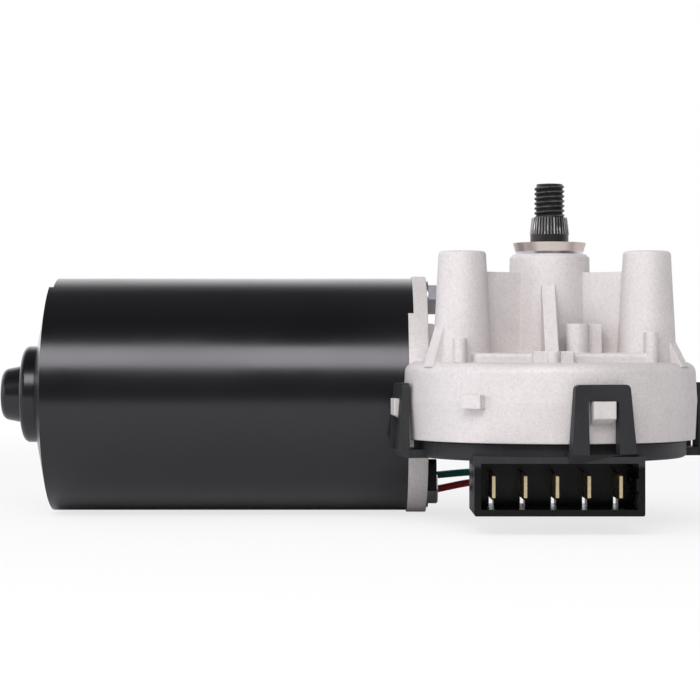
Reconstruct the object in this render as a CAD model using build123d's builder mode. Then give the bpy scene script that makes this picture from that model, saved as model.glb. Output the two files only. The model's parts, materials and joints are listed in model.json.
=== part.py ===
from build123d import *
import math
import os

# Wiper motor: a round permanent-magnet motor on a die-cast worm-gear case.
# Millimetres.  The origin is on the output shaft's axis, in the plane of the three
# mounting bosses; +Z runs out along the output shaft and +X away from the motor can.

# ---- driving dimensions ----------------------------------------------------------

# clearances
running_gap = 0.05          # radial play of a turning or sliding fit
seat_gap = 0.03             # assembly play of a piece that is pressed or laid into its seat
body_gap = 0.4              # air between pieces that move past each other

# worm gear
module = 1.0
wheel_teeth = 62
worm_pitch_radius = 5.0
worm_turns = 7
wheel_face = 8.0
flank_angle = 20.0
backlash = 0.24             # taken off the thickness of each worm thread and wheel tooth
tooth_pitch = math.pi * module
wheel_pitch_radius = module * wheel_teeth / 2
centre_distance = wheel_pitch_radius + worm_pitch_radius

# axes
motor_y = centre_distance
motor_z = -37.2
wheel_z = motor_z

# gear case, cover and can follow the wheel that they hold
case_radius = wheel_pitch_radius + 6.9
cover_radius = case_radius - 2.7
can_front_x = 1.6 - case_radius

# motor can
can_radius = 32.0
can_wall = 2.0
can_length = 101.1
can_shoulder_length = 4.1
can_shoulder_rounding = 5.5
can_shoulder_radius = 14.5
rear_boss_radius = 13.3
rear_boss_length = 4.3
rear_dome_radius = 8.0
rear_dome_length = 6.1
rear_dome_draft = 1.2
rim_tab_length = 1.4        # the rim's upper part laps over the flange of the gear case
rim_tab_offset = 22.0
# a shallow pocket pressed into the upper half of the shoulder, with two bumps in it
pocket_depth = 1.2
pocket_width = 26.0
pocket_bottom = 7.5         # above the motor's axis
bump_radii = (22.0, 25.6)
bump_width = 5.0
bump_height = 2.6
bump_depth = 2.0
can_inner_radius = can_radius - can_wall
can_end_x = can_front_x - can_length
rear_boss_x = can_end_x - rear_boss_length
rear_tip_x = rear_boss_x - rear_dome_length

# gear case
case_wall = 4.7
case_draft = 0.5            # the radius lost from the parting line to either edge
rim_top_z = -28.1
rim_bottom_z = -47.8
roof_thickness = 3.0
case_rounding = 2.8
platform_height = 2.4
platform_margin = 9.6
platform_front_y = -24.0
platform_left_x = -21.5
platform_right_x = 24.8
platform_rounding = 2.5
flange_radius = can_radius + 0.5
flange_thickness = 5.2
tunnel_radius = 10.5
tunnel_flare = 5.0
flange_rib_radius = 19.5
flange_rib_width = 3.4
flange_rib_end_x = -6.0
tunnel_end_x = 31.0
hub_radius = 10.3
hub_top_z = -0.3
hub_chamfer = 0.8
web_thickness = 4.0
web_top_z = -5.1
case_inner_radius = case_radius - case_wall
parting_z = (rim_top_z + rim_bottom_z) / 2
roof_inner_z = rim_top_z - roof_thickness
platform_z = rim_top_z + platform_height
flange_front_x = can_front_x + flange_thickness

# ribs and pads of the gear case
gusset_x = -1.3
gusset_width = 3.4
gusset_top_z = -8.4
gusset_foot_y = -21.0
ejector_x = 5.4
ejector_y = -17.0
ejector_radius = 2.85
ejector_top_z = -18.4
left_rib_x = -24.4
left_rib_top_z = -22.1
right_rib_x = 23.2
right_rib_top_z = -20.6
front_rib_width = 3.2
front_rib_inset = 2.2
side_rib_width = 4.0
side_rib_root = 1.2
side_rib_right_z = -22.5
side_rib_left_z = -18.4
pad_x = -1.6
pad_width = 10.0
pad_depth = 5.0
pad_front_y = -27.6
nub_radius = 1.65

# mounting bosses
boss_circle_radius = 27.0
boss_count = 3
boss_first_angle = -30.0
boss_top_radius = 6.0
boss_base_radius = 7.5
boss_rounding = 0.9
boss_hole_radius = 2.5
boss_hole_depth = 14.0

# output shaft
shaft_radius = 4.95
spline_top_radius = 4.6
spline_base_radius = 5.13
spline_depth = 0.45
spline_count = 36
spline_base_z = 4.9
spline_top_z = 9.3
thread_radius = 3.95
shaft_top_z = 18.0
washer_radius = 8.8
washer_thickness = 0.65
dish_rim_radius = 9.45
dish_height = 2.3
dish_wall = 0.7
bush_radius = 7.0
bush_length = 11.0
seal_length = 2.0

# yoke bolts, M5 with an 8 mm hexagon
bolt_offset = can_radius - 5.9
bolt_radius = 2.5
bolt_flats = 8.0
bolt_head = 3.5
bolt_flange_radius = 5.2
bolt_flange = 0.8
nut_plate_thickness = 4.0
nut_plate_width = 14.0
nut_plate_depth = 7.0

# cover and its three clips
cover_bottom_z = -52.4
cover_floor = 2.4
cover_wall = 4.0
gasket_thickness = 0.5
cover_height = rim_bottom_z - cover_bottom_z
relief_radius = 28.5
relief_pad_radius = 10.0
relief_depth = 0.9
relief_ribs = 8
relief_rib_width = 2.2
clip_angles = (283.5, 188.0, 13.5)
clip_top_z = -33.4
clip_window_top_z = -37.4
clip_window_bottom_z = -50.3
clip_window_width = 7.7
clip_top_width = 14.0
clip_base_width = 16.8
clip_thickness = 1.7
clip_base_thickness = 2.9
clip_foot_chamfer = 2.2
clip_foot_width = 16.0
clip_clearance = 0.23
lug_width = 5.6
lug_depth = 3.4
lug_height = 6.5
lug_face = 4.2
clip_rounding = 1.2
spare_lug_angle = 236.0
spare_lug_top_z = -36.0
spare_lug_height = 3.4

# connector: a socket with five 6.3 x 0.8 mm blades
socket_centre_x = -1.2
blade_offset_x = -0.1
socket_width = 41.2
socket_height = 12.75
socket_front_y = -39.0
socket_back_y = -17.0
socket_back_wall = 5.0
socket_side_wall = 1.6
socket_shelf = 1.6
socket_bottom_wall = 1.6
blade_count = 5
blade_pitch = 7.75
blade_height = 6.3
blade_thickness = 0.8
blade_chamfer = 0.5
blade_tip_y = -34.0
blade_centre_z = -58.4
blade_leg = 3.0
key_depth = 0.5
key_rise = 0.85
key_height = 3.0
core_slot_offset = 0.2
core_slot_width = 1.2
core_slot_height = 2.7
socket_bottom_z = cover_bottom_z - socket_height

# wires
wire_radius = 1.0
wire_spacing = 4.0
wire_seat_gap = 0.3
grommet_y = motor_y + 9.5
grommet_z = -62.2
grommet_width = 6.4
grommet_height = 7.6
grommet_depth = 3.2
grommet_neck_width = 4.4
grommet_neck_height = 4.6
vent_y = motor_y - 8.8
vent_z = -59.1
vent_width = 6.6
vent_height = 8.6
vent_depth = 2.8

# motor shaft line, seen from the worm
rotor_shaft_radius = 4.0
worm_nose_radius = 3.0
worm_nose_end_x = 26.8
bearing_outer_radius = 11.0
bearing_width = 7.0
bearing_ring = 0.27 * (bearing_outer_radius - rotor_shaft_radius)
bearing_ball_radius = 0.214 * (bearing_outer_radius - rotor_shaft_radius)
bearing_balls = 9
end_bush_radius = 5.0
end_bush_length = 8.0
thrust_screw_radius = 4.0
thrust_screw_length = 9.0
locknut_flats = 13.0
locknut_thickness = 4.0
stack_length = 42.0
stack_radius = 22.0
stack_slots = 12
stack_front_x = -72.0
winding_length = 10.0
winding_radius = 20.0
commutator_radius = 11.0
commutator_length = 16.0
commutator_front_x = -44.0
commutator_bars = 12
magnet_inner_radius = can_inner_radius - 7.0
magnet_length = 50.0
magnet_arc = 125.0
rear_bush_radius = 7.0
rear_bush_length = 8.0
thrust_ball_radius = 2.5

# brush gear
card_thickness = 2.0
card_front_x = -44.6
card_hole_radius = 13.0
brush_angles = (90.0, 210.0, 330.0)
brush_width = 6.0
brush_thickness = 4.5
brush_length = 9.0
brush_box_wall = 0.8
brush_box_inner = 12.6
brush_box_outer = 22.6
brush_x = -52.0

os.makedirs("parts", exist_ok=True)

# ---- planes and points that several pieces share ---------------------------------

motor_axis = Axis((0, motor_y, motor_z), (1, 0, 0))
motor_section = Plane(origin=(0, motor_y, motor_z), x_dir=(1, 0, 0), z_dir=(0, -1, 0))


def motor_plane(x):
    """The plane square to the motor axis at x: local x is +Y and local y is +Z."""
    return Plane(origin=(x, motor_y, motor_z), x_dir=(0, 1, 0), z_dir=(1, 0, 0))


def rim_plane(angle, radius):
    """A plane that touches the case's rim at an angle, its local y up and its normal outward."""
    outward = Vector(1, 0, 0).rotate(Axis.Z, angle)
    return Plane(origin=outward * radius, x_dir=outward.cross(Vector(0, 0, -1)), z_dir=outward)


def radial_plane(angle):
    """The upright plane through the output axis at an angle: local x outward, local y up."""
    outward = Vector(1, 0, 0).rotate(Axis.Z, angle)
    return Plane(origin=(0, 0, 0), x_dir=outward, z_dir=outward.cross(Vector(0, 0, 1)))


def brush_plane(angle, radius):
    """The plane square to a brush at a radius: local x runs along the motor axis."""
    outward = Vector(0, math.cos(math.radians(angle)), math.sin(math.radians(angle)))
    seat = Vector(brush_x, motor_y, motor_z) + outward * radius
    return Plane(origin=seat, x_dir=(1, 0, 0), z_dir=outward)


def is_circle_of(edge, radius):
    """Whether an edge is a full circle of a radius."""
    return abs(edge.length - 2 * math.pi * radius) < 0.01


boss_angles = [boss_first_angle + turn * 360 / boss_count for turn in range(boss_count)]
blade_first_x = socket_centre_x + blade_offset_x - (blade_count - 1) / 2 * blade_pitch
blade_xs = [blade_first_x + i * blade_pitch for i in range(blade_count)]
bolt_zs = {"upper": motor_z + bolt_offset, "lower": motor_z - bolt_offset}

# ---- yoke: the deep-drawn motor can ----------------------------------------------

with BuildPart() as shoulder_pocket:
    with BuildSketch(motor_section):
        with BuildLine():
            Polyline(
                (can_end_x - pocket_depth, can_shoulder_radius),
                (can_end_x + pocket_depth, can_shoulder_radius),
                (can_end_x + can_shoulder_length + pocket_depth, can_radius),
                (can_end_x - pocket_depth, can_radius),
                close=True,
            )
        make_face()
    revolve(axis=motor_axis)
    with Locations((can_end_x, motor_y, motor_z + pocket_bottom)):
        Box(can_radius, pocket_width, can_radius,
            align=(Align.CENTER, Align.CENTER, Align.MIN), mode=Mode.INTERSECT)

with BuildPart() as yoke:
    with BuildSketch(motor_section):
        with BuildLine():
            Polyline(
                (can_front_x, 0),
                (can_front_x, can_radius),
                (can_end_x + can_shoulder_length, can_radius),
                (can_end_x, can_shoulder_radius),
                (can_end_x, rear_boss_radius),
                (rear_boss_x, rear_boss_radius),
                (rear_boss_x, rear_dome_radius),
                (rear_tip_x, rear_dome_radius - rear_dome_draft),
                (rear_tip_x, 0),
                close=True,
            )
        outline = make_face()
        shoulder = outline.vertices().sort_by(Axis.Z).group_by(Axis.Z)[-1].sort_by(Axis.X)[0]
        fillet(shoulder, can_shoulder_rounding)
    revolve(axis=motor_axis)
    fillet(yoke.edges().filter_by(lambda e: is_circle_of(e, rear_dome_radius - rear_dome_draft)), 2.0)
    rear_boss_edges = yoke.edges().filter_by(lambda e: is_circle_of(e, rear_boss_radius))
    fillet(rear_boss_edges.sort_by(Axis.X)[0], 1.6)
    with BuildSketch(motor_section):
        with BuildLine():
            Polyline(
                (can_front_x, 0),
                (can_front_x, can_inner_radius),
                (can_end_x + can_shoulder_length + 2.5, can_inner_radius),
                (can_end_x + can_wall, can_shoulder_radius - can_wall),
                (can_end_x + can_wall, rear_boss_radius - can_wall),
                (rear_boss_x + can_wall, rear_boss_radius - can_wall),
                (rear_boss_x + can_wall, rear_dome_radius - can_wall),
                (rear_tip_x + can_wall, rear_dome_radius - can_wall),
                (rear_tip_x + can_wall, 0),
                close=True,
            )
        make_face()
    revolve(axis=motor_axis, mode=Mode.SUBTRACT)
    # the upper part of the rim reaches further forward
    with BuildSketch(motor_plane(can_front_x - 0.5)):
        Circle(can_radius)
        Circle(can_inner_radius, mode=Mode.SUBTRACT)
        with Locations((0, rim_tab_offset + can_radius / 2)):
            Rectangle(2 * can_radius, can_radius, mode=Mode.INTERSECT)
    extrude(amount=rim_tab_length + 0.5)
    add(shoulder_pocket.part, mode=Mode.SUBTRACT)
    for bump_radius in bump_radii:
        shoulder_slope = (bump_radius - can_shoulder_radius) / (can_radius - can_shoulder_radius)
        with BuildSketch(motor_plane(can_end_x + shoulder_slope * can_shoulder_length)):
            with Locations((0, bump_radius)):
                RectangleRounded(bump_width, bump_height, 0.8)
        extrude(amount=bump_depth)
yoke.part.label = "yoke"
export_step(yoke.part, "parts/yoke.step")

# ---- gear case: one aluminium die casting ----------------------------------------

with BuildPart() as gear_case:
    # the round bowl, widest at the parting line
    with BuildSketch(Plane.XZ):
        with BuildLine():
            Polyline(
                (0, rim_top_z),
                (case_radius - case_draft, rim_top_z),
                (case_radius, parting_z),
                (case_radius - case_draft, rim_bottom_z),
                (0, rim_bottom_z),
                close=True,
            )
        make_face()
    revolve(axis=Axis.Z)
    fillet(gear_case.edges().filter_by(GeomType.CIRCLE).group_by(Axis.Z)[-1], case_rounding)
    # raised platform under the hub and the three bosses
    with BuildSketch(Plane.XY.offset(rim_top_z - 1)):
        with Locations((0, boss_circle_radius)):
            Circle(platform_margin)
        for corner_x in (platform_left_x + platform_rounding, platform_right_x - platform_rounding):
            with Locations((corner_x, platform_front_y + platform_rounding)):
                Circle(platform_rounding)
        make_hull()
    extrude(amount=platform_height + 1)
    fillet(gear_case.faces().filter_by(Axis.Z).group_by(Axis.Z)[-1].edges(), 1.0)
    # hub and bosses
    with BuildSketch(Plane.XZ):
        with BuildLine():
            Polyline(
                (0, rim_top_z),
                (hub_radius + 0.6, rim_top_z),
                (hub_radius, hub_top_z - hub_chamfer),
                (hub_radius - hub_chamfer, hub_top_z),
                (0, hub_top_z),
                close=True,
            )
        make_face()
    revolve(axis=Axis.Z)
    for angle in boss_angles:
        axis_point = Vector(boss_circle_radius, 0).rotate(Axis.Z, angle)
        with BuildSketch(Plane.XY.offset(rim_top_z)):
            with Locations(axis_point):
                Circle(boss_base_radius)
        with BuildSketch(Plane.XY):
            with Locations(axis_point):
                Circle(boss_top_radius)
        loft()
        # the web from the hub to the boss
        with BuildSketch(Plane.XY.offset(rim_top_z)):
            with Locations(Location((0, 0, 0), (0, 0, angle))):
                with Locations((boss_circle_radius / 2, 0)):
                    Rectangle(boss_circle_radius, web_thickness)
        extrude(amount=web_top_z - rim_top_z)
    fillet(gear_case.faces().filter_by(Axis.Z).group_by(Axis.Z)[-1].edges(), boss_rounding)
    # ribs that slope from the side bosses down to the rim
    for angle, start_z in ((boss_angles[0], side_rib_right_z), (boss_angles[2], side_rib_left_z)):
        with BuildSketch(radial_plane(angle)):
            with BuildLine():
                Polyline(
                    (boss_circle_radius, start_z),
                    (boss_circle_radius + boss_base_radius - 0.8, start_z),
                    (case_radius - case_draft, rim_top_z - side_rib_root),
                    (boss_circle_radius, rim_top_z - side_rib_root),
                    close=True,
                )
            make_face()
        extrude(amount=side_rib_width / 2, both=True)
    # pointed gusset on the front of the hub
    with BuildSketch(Plane.YZ.offset(gusset_x)):
        with BuildLine():
            Polyline(
                (-hub_radius / 2, gusset_top_z),
                (-hub_radius - 0.4, gusset_top_z),
                (gusset_foot_y, platform_z),
                (-hub_radius / 2, platform_z),
                close=True,
            )
        make_face()
    extrude(amount=gusset_width / 2, both=True)
    # ejector boss beside the hub and the block behind it
    with BuildSketch(Plane.XY.offset(rim_top_z)):
        with Locations((ejector_x, ejector_y)):
            Circle(ejector_radius)
        with Locations((ejector_x + ejector_radius + 1.0, ejector_y + 3.4)):
            Rectangle(5.0, 4.2)
    extrude(amount=ejector_top_z - rim_top_z)
    # upright ribs on the fronts of the side bosses
    for rib_x, rib_top_z in ((left_rib_x, left_rib_top_z), (right_rib_x, right_rib_top_z)):
        with BuildSketch(Plane.XY.offset(rim_top_z)):
            with Locations((rib_x, platform_front_y + front_rib_inset)):
                SlotOverall(6.0, front_rib_width, rotation=90)
        extrude(amount=rib_top_z - rim_top_z)
    # pad and half-round nub on the front of the platform
    with BuildSketch(Plane.XY.offset(rim_top_z - 0.5)):
        with Locations((pad_x, pad_front_y + pad_depth / 2)):
            Rectangle(pad_width, pad_depth)
        with Locations((pad_x, pad_front_y)):
            Circle(nub_radius)
    extrude(amount=platform_height + 0.9)
    # flange that the can is bolted to, and the worm tunnel behind it
    with BuildSketch(motor_plane(can_front_x)):
        Circle(flange_radius)
    extrude(amount=flange_thickness)
    with BuildSketch(motor_section):
        with BuildLine():
            Polyline(
                (flange_front_x, 0),
                (flange_front_x, tunnel_radius + tunnel_flare),
                (flange_front_x + 14, tunnel_radius + 1.0),
                (tunnel_end_x - 1, tunnel_radius),
                (tunnel_end_x, tunnel_radius - 1),
                (tunnel_end_x, 0),
                close=True,
            )
        make_face()
    revolve(axis=motor_axis)
    # ribs that stiffen the flange against the tunnel
    for turn in (90.0, 0.0, 180.0):
        outward = Vector(0, math.cos(math.radians(turn)), math.sin(math.radians(turn)))
        rib_plane = Plane(origin=motor_axis.position, x_dir=(1, 0, 0), z_dir=Vector(1, 0, 0).cross(outward))
        with BuildSketch(rib_plane):
            with BuildLine():
                Polyline(
                    (flange_front_x - 0.5, 0),
                    (flange_front_x - 0.5, flange_rib_radius),
                    (flange_front_x + 2, flange_rib_radius),
                    (flange_rib_end_x, tunnel_radius),
                    (flange_rib_end_x, 0),
                    close=True,
                )
            make_face()
        extrude(amount=flange_rib_width / 2, both=True)
    # below the rim the casting leaves room for the cover
    with BuildSketch(Plane.XY.offset(rim_bottom_z)):
        with Locations((flange_front_x, 0)):
            Rectangle(4 * case_radius, 4 * case_radius, align=(Align.MIN, Align.CENTER))
        Circle(case_radius + clip_clearance + clip_base_thickness + body_gap, mode=Mode.INTERSECT)
    extrude(amount=-cover_height - body_gap, mode=Mode.SUBTRACT)
    # the bowl gives way to the can
    with BuildSketch(motor_plane(can_front_x)):
        Circle(flange_radius + body_gap)
    extrude(amount=-case_radius, mode=Mode.SUBTRACT)
    # wheel chamber, open at the bottom
    with BuildSketch(Plane.XY.offset(rim_bottom_z)):
        Circle(case_inner_radius)
    extrude(amount=roof_inner_z - rim_bottom_z, mode=Mode.SUBTRACT)
    # bore of the worm, seats of its bearings and the thread of the thrust screw
    worm_bore_radius = worm_pitch_radius + module + body_gap
    end_bush_x = worm_nose_end_x - end_bush_length
    with BuildSketch(motor_plane(can_front_x)):
        Circle(bearing_outer_radius + seat_gap)
    extrude(amount=bearing_width, mode=Mode.SUBTRACT)
    with BuildSketch(motor_plane(can_front_x)):
        Circle(worm_bore_radius)
    extrude(amount=end_bush_x - can_front_x, mode=Mode.SUBTRACT)
    with BuildSketch(motor_plane(can_front_x)):
        Circle(end_bush_radius + seat_gap)
    extrude(amount=worm_nose_end_x - can_front_x, mode=Mode.SUBTRACT)
    with BuildSketch(motor_plane(can_front_x)):
        Circle(thrust_screw_radius + seat_gap)
    extrude(amount=tunnel_end_x - can_front_x, mode=Mode.SUBTRACT)
    # bore of the output bushes
    with BuildSketch(Plane.XY.offset(roof_inner_z)):
        Circle(bush_radius + seat_gap)
    extrude(amount=hub_top_z - roof_inner_z, mode=Mode.SUBTRACT)
    # lap of the can's rim
    with BuildSketch(motor_plane(can_front_x)):
        Circle(flange_radius + 1)
        Circle(can_inner_radius - seat_gap, mode=Mode.SUBTRACT)
        with Locations((0, rim_tab_offset + flange_radius / 2)):
            Rectangle(3 * flange_radius, flange_radius + 2 * seat_gap, mode=Mode.INTERSECT)
    extrude(amount=rim_tab_length + seat_gap, mode=Mode.SUBTRACT)
    # tapped holes in the bosses
    for angle in boss_angles:
        with BuildSketch(Plane.XY):
            with Locations(Vector(boss_circle_radius, 0).rotate(Axis.Z, angle)):
                Circle(boss_hole_radius)
        extrude(amount=-boss_hole_depth, mode=Mode.SUBTRACT)
    # bolt holes and the window of the wire grommet
    with BuildSketch(motor_plane(can_front_x)):
        with Locations((0, bolt_offset), (0, -bolt_offset)):
            Circle(bolt_radius + seat_gap)
        with Locations((grommet_y - motor_y, grommet_z - motor_z)):
            Rectangle(grommet_neck_width + 2 * seat_gap, grommet_neck_height + 2 * seat_gap)
    extrude(amount=flange_thickness, mode=Mode.SUBTRACT)
    # snap lugs for the cover's clips
    for angle in clip_angles:
        with BuildSketch(radial_plane(angle)):
            with BuildLine():
                Polyline(
                    (case_radius - 1.5, clip_window_top_z - seat_gap),
                    (case_radius + lug_depth, clip_window_top_z - seat_gap),
                    (case_radius + lug_depth, clip_window_top_z - lug_face),
                    (case_radius - 1.5, clip_window_top_z - lug_height),
                    close=True,
                )
            make_face()
        extrude(amount=lug_width / 2, both=True)
    with BuildSketch(rim_plane(spare_lug_angle, case_radius - 1)):
        with Locations((0, spare_lug_top_z - spare_lug_height / 2)):
            Rectangle(lug_width, spare_lug_height)
    extrude(amount=lug_depth)
gear_case.part.label = "gear_case"
export_step(gear_case.part, "parts/gear_case.step")

# ---- output shaft, wheel and what turns with them --------------------------------


def serrated_circle(radius):
    """Corners of a serrated circle, one tooth and one groove in turn."""
    step = math.pi / spline_count
    return [
        (r * math.cos(i * step), r * math.sin(i * step))
        for i, r in enumerate([radius, radius - spline_depth] * spline_count)
    ]


wheel_bottom_z = wheel_z - wheel_face / 2
wheel_top_z = wheel_z + wheel_face / 2
wheel_hub_radius = 11.0
wheel_web = 4.5
wheel_rim_inner = wheel_pitch_radius - 5
carrier_radius = 15.0
carrier_thickness = 1.5
shaft_bottom_z = wheel_bottom_z - carrier_thickness - 0.8
contact_inner_radius = 16.0
contact_outer_radius = 25.5
contact_thickness = 0.5
washer_bottom_z = hub_top_z + running_gap
dish_bottom_z = washer_bottom_z + washer_thickness
circlip_bottom_z = dish_bottom_z + dish_wall
circlip_thickness = 1.0
circlip_radius = 6.4
circlip_opening = 5.0
circlip_groove_radius = shaft_radius - 0.5

with BuildPart() as output_shaft:
    with BuildSketch(Plane.XZ):
        with BuildLine():
            Polyline(
                (0, shaft_bottom_z),
                (shaft_radius - 0.5, shaft_bottom_z),
                (shaft_radius, shaft_bottom_z + 0.5),
                (shaft_radius, circlip_bottom_z),
                (circlip_groove_radius, circlip_bottom_z),
                (circlip_groove_radius, circlip_bottom_z + circlip_thickness),
                (shaft_radius, circlip_bottom_z + circlip_thickness),
                (shaft_radius, spline_base_z),
                (0, spline_base_z),
                close=True,
            )
        make_face()
    revolve(axis=Axis.Z)
    # serrated taper that the crank arm is pressed on
    with BuildSketch(Plane.XY.offset(spline_base_z)):
        Polygon(*serrated_circle(spline_base_radius), align=None)
    with BuildSketch(Plane.XY.offset(spline_top_z)):
        Polygon(*serrated_circle(spline_top_radius), align=None)
    loft(ruled=True)
    # M8 stud
    with BuildSketch(Plane.XY.offset(spline_top_z)):
        Circle(thread_radius)
    extrude(amount=shaft_top_z - spline_top_z)
    chamfer(output_shaft.edges().filter_by(GeomType.CIRCLE).group_by(Axis.Z)[-1], 0.6)
output_shaft.part.label = "output_shaft"
export_step(output_shaft.part, "parts/output_shaft.step")

# the teeth lean by the worm's lead, so the wheel's two end faces are turned apart
lead_twist = math.degrees(wheel_face / 2 * module / 2 / worm_pitch_radius / wheel_pitch_radius)
flank_slope = math.tan(math.radians(flank_angle))
tooth_half = (tooth_pitch / 2 - backlash) / 2
tip_half = tooth_half - module * flank_slope
root_half = tooth_half + 1.25 * module * flank_slope
wheel_root_radius = wheel_pitch_radius - 1.25 * module
wheel_tip_radius = wheel_pitch_radius + module


def wheel_outline(turn):
    """Corners of the toothed outline, turned by an angle in degrees about the wheel's axis."""
    corners = []
    for tooth in range(wheel_teeth):
        middle = Vector(0, 1).rotate(Axis.Z, turn + tooth * 360 / wheel_teeth)
        across = middle.rotate(Axis.Z, 90)
        corners.append(middle * wheel_root_radius - across * root_half)
        corners.append(middle * wheel_tip_radius - across * tip_half)
        corners.append(middle * wheel_tip_radius + across * tip_half)
        corners.append(middle * wheel_root_radius + across * root_half)
    return corners


with BuildPart() as worm_wheel:
    with BuildSketch(Plane.XY.offset(wheel_bottom_z)):
        Polygon(*wheel_outline(-lead_twist), align=None)
    with BuildSketch(Plane.XY.offset(wheel_top_z)):
        Polygon(*wheel_outline(lead_twist), align=None)
    loft(ruled=True)
    with BuildSketch(Plane.XY.offset(wheel_bottom_z + wheel_web)):
        Circle(wheel_rim_inner)
        Circle(wheel_hub_radius, mode=Mode.SUBTRACT)
    extrude(amount=wheel_face, mode=Mode.SUBTRACT)
    with BuildSketch(Plane.XY.offset(wheel_bottom_z)):
        Circle(shaft_radius + seat_gap)
    extrude(amount=wheel_face, mode=Mode.SUBTRACT)
worm_wheel.part.label = "worm_wheel"
export_step(worm_wheel.part, "parts/worm_wheel.step")

with BuildPart() as carrier_plate:
    with BuildSketch(Plane.XY.offset(wheel_bottom_z - carrier_thickness)):
        Circle(carrier_radius)
        Circle(shaft_radius + seat_gap, mode=Mode.SUBTRACT)
        with PolarLocations(carrier_radius, 3):
            Circle(2.2, mode=Mode.SUBTRACT)
    extrude(amount=carrier_thickness)
carrier_plate.part.label = "carrier_plate"
export_step(carrier_plate.part, "parts/carrier_plate.step")

# park contact: a ring with a notch in its edge, where the wipers stop
park_notch_depth = 3.2
park_notch_width = 12.0
with BuildPart() as contact_disc:
    with BuildSketch(Plane.XY.offset(wheel_bottom_z - contact_thickness)):
        Circle(contact_outer_radius)
        Circle(contact_inner_radius, mode=Mode.SUBTRACT)
        with Locations((contact_outer_radius - park_notch_depth / 2, 0)):
            Rectangle(park_notch_depth + 1, park_notch_width, mode=Mode.SUBTRACT)
    extrude(amount=contact_thickness)
contact_disc.part.label = "contact_disc"
export_step(contact_disc.part, "parts/contact_disc.step")

with BuildPart() as flat_washer:
    with BuildSketch(Plane.XY.offset(washer_bottom_z)):
        Circle(washer_radius)
        Circle(shaft_radius + seat_gap, mode=Mode.SUBTRACT)
    extrude(amount=washer_thickness)
flat_washer.part.label = "flat_washer"
export_step(flat_washer.part, "parts/flat_washer.step")

with BuildPart() as dished_washer:
    with BuildSketch(Plane.XZ):
        with BuildLine():
            Polyline(
                (shaft_radius + seat_gap, dish_bottom_z),
                (washer_radius, dish_bottom_z),
                (dish_rim_radius, dish_bottom_z + dish_height),
                (dish_rim_radius - dish_wall, dish_bottom_z + dish_height),
                (washer_radius - dish_wall, dish_bottom_z + dish_wall),
                (shaft_radius + seat_gap, dish_bottom_z + dish_wall),
                close=True,
            )
        make_face()
    revolve(axis=Axis.Z)
dished_washer.part.label = "dished_washer"
export_step(dished_washer.part, "parts/dished_washer.step")

with BuildPart() as circlip:
    with BuildSketch(Plane.XY.offset(circlip_bottom_z)):
        Circle(circlip_radius)
        Circle(circlip_groove_radius + seat_gap, mode=Mode.SUBTRACT)
        with Locations((0, -circlip_radius)):
            Rectangle(circlip_opening, circlip_radius * 1.2, mode=Mode.SUBTRACT)
    extrude(amount=circlip_thickness)
circlip.part.label = "circlip"
export_step(circlip.part, "parts/circlip.step")

# ---- bushes and seal in the hub --------------------------------------------------

upper_bush_top_z = hub_top_z - seal_length - 0.4
bush_bottoms = {
    "output_bush_upper": upper_bush_top_z - bush_length,
    "output_bush_lower": roof_inner_z,
}
for bush_name, bottom_z in bush_bottoms.items():
    with BuildPart() as output_bush:
        with BuildSketch(Plane.XY.offset(bottom_z)):
            Circle(bush_radius)
            Circle(shaft_radius + running_gap, mode=Mode.SUBTRACT)
        extrude(amount=bush_length)
        chamfer(output_bush.edges().filter_by(GeomType.CIRCLE).group_by(Axis.Z)[-1], 0.3)
    output_bush.part.label = bush_name
    export_step(output_bush.part, f"parts/{bush_name}.step")

with BuildPart() as shaft_seal:
    with BuildSketch(Plane.XY.offset(upper_bush_top_z + seat_gap)):
        Circle(bush_radius)
        Circle(shaft_radius + body_gap, mode=Mode.SUBTRACT)
    extrude(amount=seal_length)
shaft_seal.part.label = "shaft_seal"
export_step(shaft_seal.part, "parts/shaft_seal.step")

# ---- cover, gasket, socket and its blades ----------------------------------------

cover_top_z = rim_bottom_z - gasket_thickness
cover_inner_radius = cover_radius - cover_wall
cover_floor_top_z = cover_bottom_z + cover_floor
clip_inner_radius = case_radius + clip_clearance
clip_outer_radius = clip_inner_radius + clip_base_thickness
blade_root_y = socket_back_y - socket_back_wall / 2

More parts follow.
